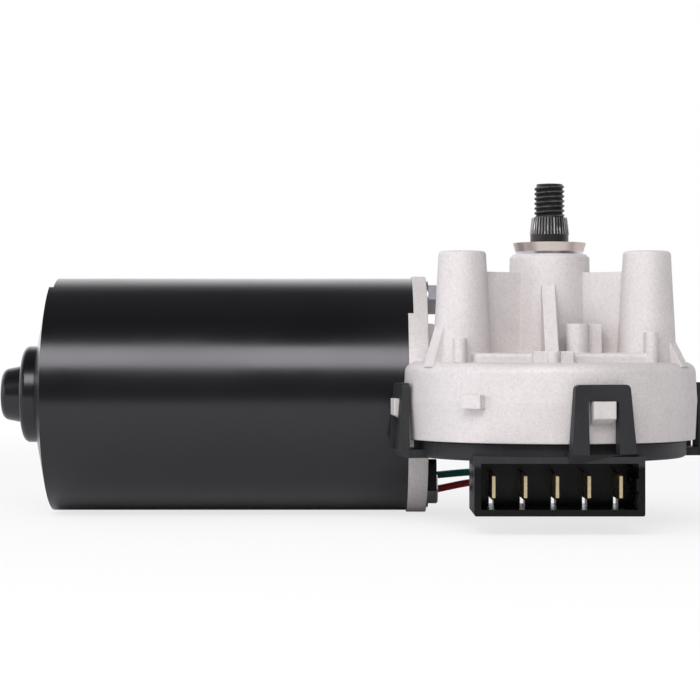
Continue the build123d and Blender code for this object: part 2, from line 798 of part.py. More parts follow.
with BuildPart() as gear_cover:
    with BuildSketch(Plane.XY.offset(cover_bottom_z)):
        Circle(cover_radius)
    extrude(amount=cover_top_z - cover_bottom_z)
    fillet(gear_cover.edges().group_by(Axis.Z)[0], 1.2)
    # clips: a tapered loop on a foot, which snaps over a lug of the case
    for angle in clip_angles:
        with BuildSketch(rim_plane(angle, clip_inner_radius)) as clip_outline:
            with BuildLine():
                Polyline(
                    (-clip_base_width / 2, cover_bottom_z),
                    (-clip_top_width / 2, clip_top_z),
                    (clip_top_width / 2, clip_top_z),
                    (clip_base_width / 2, cover_bottom_z),
                    close=True,
                )
            make_face()
            fillet(clip_outline.vertices().group_by(Axis.Y)[-1], clip_rounding)
            with Locations((0, (clip_window_top_z + clip_window_bottom_z) / 2)):
                Rectangle(clip_window_width, clip_window_top_z - clip_window_bottom_z, mode=Mode.SUBTRACT)
        extrude(amount=clip_base_thickness)
        with BuildSketch(rim_plane(angle, cover_inner_radius)):
            with Locations((0, (cover_bottom_z + clip_window_bottom_z) / 2)):
                Rectangle(clip_foot_width, clip_window_bottom_z - cover_bottom_z)
        extrude(amount=clip_inner_radius + clip_thickness / 2 - cover_inner_radius)
        # its outer face leans in towards the top and its foot is bevelled
        with BuildSketch(radial_plane(angle)):
            with BuildLine():
                Polyline(
                    (clip_inner_radius + clip_thickness, clip_top_z),
                    (clip_outer_radius, clip_window_bottom_z + 0.5),
                    (clip_outer_radius, cover_bottom_z + clip_foot_chamfer),
                    (clip_outer_radius - clip_foot_chamfer, cover_bottom_z),
                    (clip_outer_radius + 1, cover_bottom_z),
                    (clip_outer_radius + 1, clip_top_z),
                    close=True,
                )
            make_face()
        extrude(amount=clip_base_width / 2 + 0.5, both=True, mode=Mode.SUBTRACT)
    # the shelf that roofs the socket
    with BuildSketch(Plane.XY.offset(cover_bottom_z)):
        with Locations((socket_centre_x, (socket_front_y + socket_back_y) / 2)):
            Rectangle(socket_width, socket_back_y - socket_front_y)
    extrude(amount=socket_shelf)
    # the hollow above the floor
    with BuildSketch(Plane.XY.offset(cover_floor_top_z)):
        Circle(cover_inner_radius)
    extrude(amount=cover_top_z - cover_floor_top_z, mode=Mode.SUBTRACT)
    # moulded relief under the floor: ribs between a centre pad and the edge
    with BuildSketch(Plane.XY.offset(cover_bottom_z)):
        Circle(relief_radius)
        Circle(relief_pad_radius, mode=Mode.SUBTRACT)
        with PolarLocations(relief_radius / 2, relief_ribs, start_angle=180 / relief_ribs):
            Rectangle(relief_radius + 2, relief_rib_width, mode=Mode.SUBTRACT)
        with Locations((0, socket_back_y + relief_rib_width - cover_radius)):
            Rectangle(2 * cover_radius, 2 * cover_radius, mode=Mode.SUBTRACT)
    extrude(amount=relief_depth, mode=Mode.SUBTRACT)
    # the slots that the blades come up through, and the relief beside the can
    with BuildSketch(Plane.XY.offset(cover_bottom_z)):
        for x in blade_xs:
            with Locations((x, blade_root_y)):
                Rectangle(blade_thickness + 2 * seat_gap, blade_leg + 2 * seat_gap)
    extrude(amount=cover_floor, mode=Mode.SUBTRACT)
    with BuildSketch(motor_plane(flange_front_x + seat_gap)):
        Circle(flange_radius + body_gap)
    extrude(amount=-cover_radius, mode=Mode.SUBTRACT)
gear_cover.part.label = "gear_cover"
export_step(gear_cover.part, "parts/gear_cover.step")

with BuildPart() as cover_gasket:
    with BuildSketch(Plane.XY.offset(cover_top_z)):
        Circle(cover_radius - 0.2)
        Circle(cover_inner_radius + 0.1, mode=Mode.SUBTRACT)
    extrude(amount=gasket_thickness)
    with BuildSketch(motor_plane(flange_front_x + seat_gap)):
        Circle(flange_radius + body_gap)
    extrude(amount=-cover_radius, mode=Mode.SUBTRACT)
cover_gasket.part.label = "cover_gasket"
export_step(cover_gasket.part, "parts/cover_gasket.step")

cavity_bottom_z = socket_bottom_z + socket_bottom_wall
cavity_back_y = socket_back_y - socket_back_wall
cavity_width = socket_width - 2 * socket_side_wall
socket_depth = socket_back_y - socket_front_y

with BuildPart() as connector_shell:
    with BuildSketch(Plane.XZ.offset(-socket_back_y)):
        with Locations((socket_centre_x, (cover_bottom_z + socket_bottom_z) / 2)):
            Rectangle(socket_width, socket_height)
    extrude(amount=socket_depth)
    fillet(connector_shell.edges().filter_by(Axis.Y).group_by(Axis.Z)[0], 0.5)
    # cavity for the plug
    with BuildSketch(Plane.XZ.offset(-cavity_back_y)):
        with Locations((socket_centre_x, (cover_bottom_z + cavity_bottom_z) / 2)):
            Rectangle(cavity_width, cover_bottom_z - cavity_bottom_z)
    extrude(amount=socket_depth, mode=Mode.SUBTRACT)
    # key rib on one wall
    with BuildSketch(Plane.XZ.offset(-cavity_back_y)):
        with Locations((socket_centre_x + cavity_width / 2, blade_centre_z + key_rise)):
            Rectangle(key_depth * 2, key_height)
    extrude(amount=cavity_back_y - socket_front_y)
    # slots through the back wall for the blades and, under them, for the mould's cores
    with BuildSketch(Plane.XZ.offset(-socket_back_y)):
        for x in blade_xs:
            with Locations((x + core_slot_offset, cavity_bottom_z + core_slot_height / 2)):
                Rectangle(core_slot_width, core_slot_height)
    extrude(amount=socket_depth, mode=Mode.SUBTRACT)
    with BuildSketch(Plane.XZ.offset(-(blade_root_y + blade_leg / 2 + seat_gap))):
        for x in blade_xs:
            with Locations((x, blade_centre_z)):
                Rectangle(blade_thickness + 2 * seat_gap, blade_height + 2 * seat_gap)
    extrude(amount=socket_back_wall, mode=Mode.SUBTRACT)
    with BuildSketch(Plane.XY.offset(blade_centre_z)):
        for x in blade_xs:
            with Locations((x, blade_root_y)):
                Rectangle(blade_thickness + 2 * seat_gap, blade_leg + 2 * seat_gap)
    extrude(amount=cover_bottom_z - blade_centre_z, mode=Mode.SUBTRACT)
connector_shell.part.label = "connector_shell"
export_step(connector_shell.part, "parts/connector_shell.step")

blade_top_z = cover_floor_top_z + 0.6
for number, x in enumerate(blade_xs, start=1):
    with BuildPart() as terminal:
        with BuildSketch(Plane.YZ.offset(x)):
            with BuildLine():
                Polyline(
                    (blade_tip_y, blade_centre_z - blade_height / 2 + blade_chamfer),
                    (blade_tip_y + blade_chamfer, blade_centre_z - blade_height / 2),
                    (blade_root_y + blade_leg / 2, blade_centre_z - blade_height / 2),
                    (blade_root_y + blade_leg / 2, blade_top_z),
                    (blade_root_y - blade_leg / 2, blade_top_z),
                    (blade_root_y - blade_leg / 2, blade_centre_z + blade_height / 2),
                    (blade_tip_y + blade_chamfer, blade_centre_z + blade_height / 2),
                    (blade_tip_y, blade_centre_z + blade_height / 2 - blade_chamfer),
                    close=True,
                )
            make_face()
        extrude(amount=blade_thickness / 2, both=True)
    terminal.part.label = f"terminal_{number}"
    export_step(terminal.part, f"parts/terminal_{number}.step")

# park fingers: leaf springs that reach from the cover to the contact ring
finger_width = 4.0
finger_thickness = 0.4
finger_length = 13.0
finger_foot = 4.0
finger_rise = wheel_bottom_z - contact_thickness - body_gap - cover_floor_top_z
finger_radii = {"inner": 17.8, "middle": 20.6, "outer": 24.0}
for number, (finger_name, finger_radius) in enumerate(finger_radii.items()):
    finger_angle = 60.0 + number * 30
    tangent = Vector(1, 0, 0).rotate(Axis.Z, finger_angle + 90)
    outward = Vector(1, 0, 0).rotate(Axis.Z, finger_angle)
    finger_plane = Plane(
        origin=outward * (finger_radius - finger_width / 4) + Vector(0, 0, cover_floor_top_z),
        x_dir=tangent, z_dir=outward)
    with BuildPart() as park_finger:
        with BuildSketch(finger_plane):
            with BuildLine():
                Polyline(
                    (-finger_foot, 0),
                    (0, 0),
                    (finger_length, finger_rise - finger_thickness),
                    (finger_length + 1.5, finger_rise - finger_thickness),
                    (finger_length + 1.5, finger_rise),
                    (finger_length - 0.2, finger_rise),
                    (-0.2, finger_thickness),
                    (-finger_foot, finger_thickness),
                    close=True,
                )
            make_face()
        extrude(amount=finger_width / 2)
    park_finger.part.label = f"park_finger_{finger_name}"
    export_step(park_finger.part, f"parts/park_finger_{finger_name}.step")

# ---- bolts, nut plates, grommet and wires ----------------------------------------

for side, bolt_z in bolt_zs.items():
    bolt_plane = Plane(origin=(flange_front_x, motor_y, bolt_z), x_dir=(0, 1, 0), z_dir=(1, 0, 0))
    with BuildPart() as yoke_bolt:
        with BuildSketch(bolt_plane):
            Circle(bolt_flange_radius)
        extrude(amount=bolt_flange)
        with BuildSketch(bolt_plane):
            RegularPolygon(bolt_flats / 2, 6, major_radius=False)
        extrude(amount=bolt_head)
        with BuildSketch(bolt_plane):
            Circle(bolt_radius)
        extrude(amount=-(flange_thickness + nut_plate_thickness + 2))
        chamfer(yoke_bolt.faces().sort_by(Axis.X)[-1].edges(), 0.4)
    yoke_bolt.part.label = f"yoke_bolt_{side}"
    export_step(yoke_bolt.part, f"parts/yoke_bolt_{side}.step")
    # weld nut inside the can
    with BuildPart() as nut_plate:
        with BuildSketch(motor_plane(can_front_x - nut_plate_thickness)):
            Circle(can_inner_radius - seat_gap)
            Circle(can_inner_radius - nut_plate_depth, mode=Mode.SUBTRACT)
            with Locations((0, bolt_z - motor_z)):
                Rectangle(nut_plate_width, nut_plate_width, mode=Mode.INTERSECT)
                Circle(bolt_radius + seat_gap, mode=Mode.SUBTRACT)
        extrude(amount=nut_plate_thickness - seat_gap)
    nut_plate.part.label = f"nut_plate_{side}"
    export_step(nut_plate.part, f"parts/nut_plate_{side}.step")

# rubber drain vent on the flange, in front of the lower bolt
with BuildPart() as drain_vent:
    with BuildSketch(motor_plane(flange_front_x)):
        with Locations((vent_y - motor_y, vent_z - motor_z)):
            RectangleRounded(vent_width, vent_height, 1.5)
    extrude(amount=vent_depth)
drain_vent.part.label = "drain_vent"
export_step(drain_vent.part, "parts/drain_vent.step")

with BuildPart() as wire_grommet:
    with BuildSketch(motor_plane(flange_front_x)):
        with Locations((grommet_y - motor_y, grommet_z - motor_z)):
            RectangleRounded(grommet_width, grommet_height, 1.5)
    extrude(amount=grommet_depth)
    with BuildSketch(motor_plane(can_front_x + seat_gap)):
        with Locations((grommet_y - motor_y, grommet_z - motor_z)):
            Rectangle(grommet_neck_width, grommet_neck_height)
    extrude(amount=flange_thickness)
wire_grommet.part.label = "wire_grommet"
export_step(wire_grommet.part, "parts/wire_grommet.step")

grommet_face_x = flange_front_x + grommet_depth
wire_entry_zs = {"green": grommet_z + wire_spacing / 2, "red": grommet_z - wire_spacing / 2}
wire_routes = {
    "green": [(-18.0, 44.0, -59.2), (-10.0, 36.0, -58.6), (-8.0, 22.0, -58.2), (-10.5, 2.0, -58.0)],
    "red": [(-17.5, 44.5, -62.0), (-7.5, 37.5, -61.0), (-4.5, 23.0, -60.2), (-6.5, 2.5, -59.8)],
}
for colour, route in wire_routes.items():
    start = Vector(grommet_face_x + wire_seat_gap, grommet_y, wire_entry_zs[colour])
    end = Vector(route[-1][0], socket_back_y, route[-1][2])
    points = [start] + [Vector(*point) for point in route] + [end]
    runs = [after - before for before, after in zip(points, points[1:])]
    radii = [
        0.45 * min(one.length, two.length) / math.tan(math.radians(one.get_angle(two) / 2))
        for one, two in zip(runs, runs[1:])
    ]
    with BuildPart() as wire:
        with BuildLine():
            FilletPolyline(*points, radius=radii)
        with BuildSketch(Plane(origin=start, z_dir=runs[0])):
            Circle(wire_radius)
        sweep()
    wire.part.label = f"wire_{colour}"
    export_step(wire.part, f"parts/wire_{colour}.step")

# ---- motor: what is fixed in the can ---------------------------------------------

magnet_rear_x = stack_front_x - stack_length / 2 - magnet_length / 2
magnet_outer_radius = can_inner_radius - seat_gap
spring_clip_radius = can_inner_radius - 1.2
for side, middle_angle in {"front": 180.0, "back": 0.0}.items():
    with BuildPart() as magnet:
        with BuildSketch(motor_plane(magnet_rear_x)):
            with BuildLine():
                inner = CenterArc((0, 0), magnet_inner_radius, middle_angle - magnet_arc / 2, magnet_arc)
                outer = CenterArc((0, 0), magnet_outer_radius, middle_angle - magnet_arc / 2, magnet_arc)
                Line(inner @ 0, outer @ 0)
                Line(inner @ 1, outer @ 1)
            make_face()
        extrude(amount=magnet_length)
    magnet.part.label = f"magnet_{side}"
    export_step(magnet.part, f"parts/magnet_{side}.step")

# spring clips that spread the magnets apart
clip_arc = 180.0 - magnet_arc - 0.4
for side, middle_angle in {"top": 90.0, "bottom": 270.0}.items():
    with BuildPart() as magnet_clip:
        with BuildSketch(motor_plane(magnet_rear_x)):
            with BuildLine():
                inner = CenterArc((0, 0), spring_clip_radius, middle_angle - clip_arc / 2, clip_arc)
                outer = CenterArc((0, 0), magnet_outer_radius, middle_angle - clip_arc / 2, clip_arc)
                Line(inner @ 0, outer @ 0)
                Line(inner @ 1, outer @ 1)
            make_face()
        extrude(amount=magnet_length * 0.8)
    magnet_clip.part.label = f"magnet_clip_{side}"
    export_step(magnet_clip.part, f"parts/magnet_clip_{side}.step")

# the rear bush is held by a spring ring in the stepped end of the can
rear_bush_x = rear_boss_x + can_wall + 0.2
with BuildPart() as rear_bush:
    with BuildSketch(motor_plane(rear_bush_x)):
        Circle(rear_bush_radius)
        Circle(rotor_shaft_radius + running_gap, mode=Mode.SUBTRACT)
    extrude(amount=rear_bush_length)
    fillet(rear_bush.edges().filter_by(lambda e: is_circle_of(e, rear_bush_radius)), 1.0)
rear_bush.part.label = "rear_bush"
export_step(rear_bush.part, "parts/rear_bush.step")

with BuildPart() as bush_retainer:
    with BuildSketch(motor_plane(rear_bush_x + 2.0)):
        Circle(rear_boss_radius - can_wall - seat_gap)
        Circle(rear_bush_radius + seat_gap, mode=Mode.SUBTRACT)
    extrude(amount=1.2)
bush_retainer.part.label = "bush_retainer"
export_step(bush_retainer.part, "parts/bush_retainer.step")

rotor_rear_x = rear_tip_x + can_wall + 2 * thrust_ball_radius + 0.3
with BuildPart() as thrust_ball:
    with Locations((rear_tip_x + can_wall + thrust_ball_radius + 0.1, motor_y, motor_z)):
        Sphere(thrust_ball_radius)
thrust_ball.part.label = "thrust_ball"
export_step(thrust_ball.part, "parts/thrust_ball.step")

# ---- ball bearing in the flange, bush and thrust screw at the worm's nose --------

bearing_middle_radius = (bearing_outer_radius + rotor_shaft_radius) / 2
bearing_groove_radius = bearing_ball_radius + running_gap
for ring_name, inner_radius, outer_radius in (
    ("bearing_outer", bearing_outer_radius - bearing_ring, bearing_outer_radius),
    ("bearing_inner", rotor_shaft_radius + seat_gap, rotor_shaft_radius + bearing_ring),
):
    with BuildPart() as bearing_race:
        with BuildSketch(motor_section):
            with Locations((can_front_x + bearing_width / 2, (inner_radius + outer_radius) / 2)):
                Rectangle(bearing_width, outer_radius - inner_radius)
            with Locations((can_front_x + bearing_width / 2, bearing_middle_radius)):
                Circle(bearing_groove_radius, mode=Mode.SUBTRACT)
        revolve(axis=motor_axis)
    bearing_race.part.label = ring_name
    export_step(bearing_race.part, f"parts/{ring_name}.step")

with BuildPart() as bearing_ball_set:
    with Locations(motor_plane(can_front_x + bearing_width / 2)):
        with PolarLocations(bearing_middle_radius, bearing_balls):
            Sphere(bearing_ball_radius)
bearing_ball_set.part.label = "bearing_balls"
export_step(bearing_ball_set.part, "parts/bearing_balls.step")

with BuildPart() as bearing_retainer:
    with BuildSketch(motor_plane(can_front_x)):
        Circle(can_inner_radius - nut_plate_depth - body_gap)
        Circle(bearing_outer_radius - bearing_ring / 2, mode=Mode.SUBTRACT)
    extrude(amount=-1.0)
bearing_retainer.part.label = "bearing_retainer"
export_step(bearing_retainer.part, "parts/bearing_retainer.step")

with BuildPart() as worm_end_bush:
    with BuildSketch(motor_plane(end_bush_x + seat_gap)):
        Circle(end_bush_radius)
        Circle(worm_nose_radius + running_gap, mode=Mode.SUBTRACT)
    extrude(amount=end_bush_length - 2 * seat_gap)
worm_end_bush.part.label = "worm_end_bush"
export_step(worm_end_bush.part, "parts/worm_end_bush.step")

with BuildPart() as thrust_screw:
    with BuildSketch(motor_plane(worm_nose_end_x + running_gap)):
        Circle(thrust_screw_radius - running_gap)
    extrude(amount=thrust_screw_length)
    slot_face = thrust_screw.faces().sort_by(Axis.X)[-1]
    with BuildSketch(Plane(origin=slot_face.center(), x_dir=(0, 1, 0), z_dir=(1, 0, 0))):
        Rectangle(2 * thrust_screw_radius, 1.2)
    extrude(amount=-1.6, mode=Mode.SUBTRACT)
thrust_screw.part.label = "thrust_screw"
export_step(thrust_screw.part, "parts/thrust_screw.step")

with BuildPart() as thrust_locknut:
    with BuildSketch(motor_plane(tunnel_end_x)):
        RegularPolygon(locknut_flats / 2, 6, major_radius=False)
        Circle(thrust_screw_radius, mode=Mode.SUBTRACT)
    extrude(amount=locknut_thickness)
thrust_locknut.part.label = "thrust_locknut"
export_step(thrust_locknut.part, "parts/thrust_locknut.step")

# ---- armature --------------------------------------------------------------------

worm_length = worm_turns * tooth_pitch
worm_root_radius = worm_pitch_radius - 1.25 * module
worm_tip_radius = worm_pitch_radius + module
thread_root_half = tooth_half + (1.25 * module + 0.3) * flank_slope

with BuildPart() as armature_shaft:
    with BuildSketch(motor_section):
        with BuildLine():
            Polyline(
                (rotor_rear_x, 0),
                (rotor_rear_x, rotor_shaft_radius - 0.5),
                (rotor_rear_x + 0.5, rotor_shaft_radius),
                (-worm_length / 2 - 4, rotor_shaft_radius),
                (-worm_length / 2 - 3, worm_root_radius),
                (worm_length / 2 + 3, worm_root_radius),
                (end_bush_x - 0.5, worm_root_radius),
                (end_bush_x - 0.5, worm_nose_radius),
                (worm_nose_end_x, worm_nose_radius),
                (worm_nose_end_x, 0),
                close=True,
            )
        make_face()
    revolve(axis=motor_axis)
    # the worm: one thread, swept along a helix that passes the wheel between two teeth
    helix_start_x = -worm_length / 2 - tooth_pitch / 4
    with BuildLine():
        helix = Helix(
            tooth_pitch, worm_length, worm_pitch_radius,
            center=(helix_start_x, motor_y, motor_z), direction=(1, 0, 0))
    thread_plane = Plane(origin=helix @ 0, x_dir=(0, 0, 1), z_dir=helix % 0)
    with BuildSketch(thread_plane):
        with BuildLine():
            Polyline(
                (worm_root_radius - 0.3 - worm_pitch_radius, -thread_root_half),
                (module, -tip_half),
                (module, tip_half),
                (worm_root_radius - 0.3 - worm_pitch_radius, thread_root_half),
                close=True,
            )
        make_face()
    sweep(path=helix, is_frenet=True)
armature_shaft.part.label = "armature_shaft"
export_step(armature_shaft.part, "parts/armature_shaft.step")

slot_opening = 2.2
slot_depth = 9.0
with BuildPart() as lamination_stack:
    with BuildSketch(motor_plane(stack_front_x - stack_length)):
        Circle(stack_radius)
        Circle(rotor_shaft_radius + seat_gap, mode=Mode.SUBTRACT)
        with PolarLocations(stack_radius - 1.0, stack_slots):
            Rectangle(3.0, slot_opening, mode=Mode.SUBTRACT)
        with PolarLocations(stack_radius - 1.5 - slot_depth / 2, stack_slots):
            SlotOverall(slot_depth, slot_opening * 2.0, mode=Mode.SUBTRACT)
    extrude(amount=stack_length)
lamination_stack.part.label = "lamination_stack"
export_step(lamination_stack.part, "parts/lamination_stack.step")

winding_ends = {
    "winding_front": stack_front_x,
    "winding_rear": stack_front_x - stack_length - winding_length,
}
for winding_name, winding_x in winding_ends.items():
    with BuildPart() as winding:
        with BuildSketch(motor_plane(winding_x)):
            Circle(winding_radius)
            Circle(rotor_shaft_radius + 1.2, mode=Mode.SUBTRACT)
        extrude(amount=winding_length)
        chamfer(winding.edges().filter_by(lambda e: is_circle_of(e, winding_radius)), 2.5)
    winding.part.label = winding_name
    export_step(winding.part, f"parts/{winding_name}.step")

with BuildPart() as commutator:
    with BuildSketch(motor_plane(commutator_front_x - commutator_length)):
        Circle(commutator_radius)
        Circle(rotor_shaft_radius + seat_gap, mode=Mode.SUBTRACT)
        with PolarLocations(commutator_radius, commutator_bars):
            Rectangle(2.0, 0.5, mode=Mode.SUBTRACT)
    extrude(amount=commutator_length)
commutator.part.label = "commutator"
export_step(commutator.part, "parts/commutator.step")

# ---- brush gear ------------------------------------------------------------------

with BuildPart() as brush_card:
    with BuildSketch(motor_plane(card_front_x - card_thickness)):
        Circle(can_inner_radius - seat_gap)
        Circle(card_hole_radius, mode=Mode.SUBTRACT)
    extrude(amount=card_thickness)
brush_card.part.label = "brush_card"
export_step(brush_card.part, "parts/brush_card.step")

box_width = brush_width + 2 * (running_gap + brush_box_wall)
box_height = brush_thickness + 2 * (running_gap + brush_box_wall)
box_to_card = card_front_x - card_thickness - brush_x - box_width / 2
brush_stop_radius = brush_box_outer + 4.4
brush_back_radius = commutator_radius + brush_length
spring_end_gap = 0.05
spring_radius = 1.9
spring_wire = 0.5
for number, brush_angle in enumerate(brush_angles, start=1):
    with BuildPart() as brush_holder:
        with BuildSketch(brush_plane(brush_angle, brush_box_inner)):
            Rectangle(box_width, box_height)
            Rectangle(brush_width + 2 * running_gap, brush_thickness + 2 * running_gap, mode=Mode.SUBTRACT)
            with Locations((box_width / 2 + box_to_card / 2, 0)):
                Rectangle(box_to_card, box_height)
        extrude(amount=brush_box_outer - brush_box_inner)
        # the stop above the spring and the post that carries it
        with BuildSketch(brush_plane(brush_angle, brush_stop_radius)):
            Rectangle(box_width, box_height)
            with Locations((box_width / 2 + box_to_card / 2, 0)):
                Rectangle(box_to_card, box_height)
        extrude(amount=brush_box_wall)
        with BuildSketch(brush_plane(brush_angle, brush_box_outer)):
            with Locations((box_width / 2 + box_to_card / 2, 0)):
                Rectangle(box_to_card, box_height)
        extrude(amount=brush_stop_radius - brush_box_outer)
    brush_holder.part.label = f"brush_holder_{number}"
    export_step(brush_holder.part, f"parts/brush_holder_{number}.step")

    # a carbon brush whose end is ground to the commutator's radius
    with BuildPart() as brush:
        with BuildSketch(brush_plane(brush_angle, commutator_radius - 1)):
            Rectangle(brush_width, brush_thickness)
        extrude(amount=brush_length + 1)
        with BuildSketch(motor_plane(brush_x - brush_width)):
            Circle(commutator_radius + running_gap)
        extrude(amount=2 * brush_width, mode=Mode.SUBTRACT)
    brush.part.label = f"brush_{number}"
    export_step(brush.part, f"parts/brush_{number}.step")

    with BuildPart() as brush_spring:
        with BuildSketch(brush_plane(brush_angle, brush_back_radius + spring_end_gap)):
            Circle(spring_radius)
            Circle(spring_radius - spring_wire, mode=Mode.SUBTRACT)
        extrude(amount=brush_stop_radius - brush_back_radius - 2 * spring_end_gap)
    brush_spring.part.label = f"brush_spring_{number}"
    export_step(brush_spring.part, f"parts/brush_spring_{number}.step")
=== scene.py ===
"""Looks of a geared wiper motor: its finishes, rolled thread and coil springs, and the studio."""

import json
import math

import bmesh
import bpy
from mathutils import Matrix, Vector


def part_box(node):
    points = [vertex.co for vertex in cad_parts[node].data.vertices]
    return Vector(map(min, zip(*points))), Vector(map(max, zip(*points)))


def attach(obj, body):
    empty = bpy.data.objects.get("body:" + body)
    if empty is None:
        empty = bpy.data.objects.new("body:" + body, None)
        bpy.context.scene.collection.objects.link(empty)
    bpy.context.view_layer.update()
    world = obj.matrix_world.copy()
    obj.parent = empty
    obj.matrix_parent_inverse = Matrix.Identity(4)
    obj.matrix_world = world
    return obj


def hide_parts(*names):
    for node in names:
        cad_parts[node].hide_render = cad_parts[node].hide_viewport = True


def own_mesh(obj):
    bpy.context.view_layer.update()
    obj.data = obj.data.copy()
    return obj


bl_info = {
    "name": "Wiper Motor Finish",
    "version": (1, 0, 0),
    "blender": (4, 5, 0),
    "location": "3D View > Sidebar > Wiper Motor",
    "description": "Gives a geared wiper motor its finishes, rolled thread and coil springs, and a studio",
    "category": "Object",
}

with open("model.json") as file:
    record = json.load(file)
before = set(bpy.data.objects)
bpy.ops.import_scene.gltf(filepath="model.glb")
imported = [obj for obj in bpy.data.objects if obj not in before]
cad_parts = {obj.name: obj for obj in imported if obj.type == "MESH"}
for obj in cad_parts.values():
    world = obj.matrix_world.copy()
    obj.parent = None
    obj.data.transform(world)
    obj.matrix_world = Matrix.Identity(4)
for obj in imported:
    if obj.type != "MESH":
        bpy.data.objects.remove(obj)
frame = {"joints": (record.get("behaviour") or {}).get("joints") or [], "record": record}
MM = 0.001
SLOT_OF = {part["node"]: part["material_slot"] for part in frame["record"]["subparts"]}
JOINT_OF = {joint["name"]: joint for joint in frame["joints"]}

# vertices this close to each other are welded, and those this close to a cut lie on it
WELD_DISTANCE = 0.002 * MM
CUT_TOLERANCE = 0.001 * MM

# heights on the output shaft: its serrated taper, whose crests lean inwards, and the stud above it
STUD_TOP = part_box("output_shaft")[1][2]
TAPER_TOP = STUD_TOP - 8.7 * MM
TAPER_BASE = TAPER_TOP - 4.4 * MM
TAPER_TOP_CREST = 4.46 * MM
TAPER_BASE_CREST = 4.98 * MM
STUD_OVERLAP = 0.1 * MM

# the stud's thread; the crest takes up a share of each pitch
THREAD_PITCH = 1.25 * MM
THREAD_RADIUS = 3.94 * MM
THREAD_DEPTH = 0.62 * MM
CREST_START = 0.42
CREST_END = 0.58
THREAD_STEPS = 64
THREAD_WELD = 0.01 * MM
CHAMFER_HEIGHT = 0.7 * MM
CHAMFER_SLOPE = 0.9
THREAD_SHARP_ANGLE = math.radians(30)

# the coil springs between the brushes and the stops of their holders
BRUSH_JOINTS = ("brush_slide_a", "brush_slide_b", "brush_slide_c")
MOTOR_AXIS_Z = JOINT_OF["armature_spin"]["pos_m"][2]
SPRING_WIRE = 0.5 * MM
SPRING_TURNS = 6
SPRING_STEPS = 24
WIRE_SIDES = 8
WIRE_SHARP_ANGLE = math.radians(50)

# below this height the cover's plastic is smoother and much darker
SOCKET_TOP = -53.2 * MM
SOCKET_BLEND = 0.4 * MM

# most of a noise texture's values lie in this span
NOISE_SPAN = (0.3, 0.7)

# brightness of the studio in mirror images: the backdrop, the room in front of it, and the share overhead
BACKDROP_LIGHT = 1.5
ROOM_LIGHT = 0.08
OVERHEAD_SHARE = 0.08
ROOM_TO_BACKDROP = (-0.35, 0.35)
LEVEL_TO_OVERHEAD = (0.5, 0.86)

# brightness of the soft light from the left and right, times that from the front and back
AMBIENT_LEFT = 0.62
AMBIENT_RIGHT = 0.03
AMBIENT_FRONT = 1.95
AMBIENT_BACK = 1.4
LEFT_TO_RIGHT = (-0.5, 0.8)
FRONT_TO_BACK = (-0.7, 0.3)
ROOM_TINT = (0.97, 0.96, 1.0, 1.0)

# the floor: its glow fades to white away from the motor, and its mirror image is dark in front
FLOOR_Z = min(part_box(node)[0][2] for node in SLOT_OF) - 0.2 * MM
FLOOR_SIZE = 8.0
FLOOR_GREY = 0.9
FLOOR_ROUGHNESS = 0.9
FLOOR_GLOW = 0.75
FLOOR_SHADE = 0.15
NEAR_TO_FAR = (0.2, 0.7)
MOTOR_TO_FRONT = (-0.2, -0.36)

# where the lamps stand and how large they are
LAMP_TARGET = (-0.052, 0.01, -0.03)
KEY_LAMP_PLACE = (-0.12, -0.7, 0.52)
KEY_LAMP_SIZE = (0.75, 0.34)
LEFT_LAMP_PLACE = (-0.85, -0.3, 0.15)
LEFT_LAMP_SIZE = (0.5, 0.5)
LEFT_LAMP_TINT = (0.84, 0.92, 1.0)

# the camera's sensor in millimetres, and how far it sees in metres
SENSOR_WIDTH = 36.0
VIEW_DEPTH = 20.0


# ---- settings --------------------------------------------------------------------


class FinishSettings(bpy.types.PropertyGroup):
    """Colours and sheens of the motor's materials."""

    paint_colour: bpy.props.FloatVectorProperty(
        name="Can paint", description="Colour of the stoved paint on the motor can",
        subtype="COLOR", size=3, min=0.0, max=1.0, default=(0.006, 0.006, 0.007))
    paint_roughness: bpy.props.FloatProperty(
        name="Paint roughness", description="Roughness of the paint's gloss",
        subtype="FACTOR", min=0.0, max=1.0, default=0.21)
    casting_colour: bpy.props.FloatVectorProperty(
        name="Casting", description="Colour of the shot-blasted aluminium",
        subtype="COLOR", size=3, min=0.0, max=1.0, default=(0.66, 0.618, 0.61))
    casting_roughness: bpy.props.FloatProperty(
        name="Casting roughness", description="Roughness of the blasted skin",
        subtype="FACTOR", min=0.0, max=1.0, default=0.6)
    plastic_colour: bpy.props.FloatVectorProperty(
        name="Plastic", description="Colour of the moulded cover and socket",
        subtype="COLOR", size=3, min=0.0, max=1.0, default=(0.026, 0.026, 0.028))
    plastic_roughness: bpy.props.FloatProperty(
        name="Plastic roughness", description="Roughness of the moulded plastic",
        subtype="FACTOR", min=0.0, max=1.0, default=0.48)


class StudioSettings(bpy.types.PropertyGroup):
    """Camera and lamps of the studio."""

    eye: bpy.props.FloatVectorProperty(
        name="Eye", description="Where the camera stands",
        subtype="TRANSLATION", unit="LENGTH", size=3, default=(-0.0518, -0.54, -0.025))
    focal_length: bpy.props.FloatProperty(
        name="Focal length", description="Lens on a 36 mm wide sensor", unit="CAMERA", default=106.9)
    key_power: bpy.props.FloatProperty(
        name="Key power", description="Power of the large lamp above the camera", unit="POWER", default=5.1)
    fill_power: bpy.props.FloatProperty(
        name="Fill power", description="Power of the lamp on the left", unit="POWER", default=1.2)


# ---- shader maths ----------------------------------------------------------------


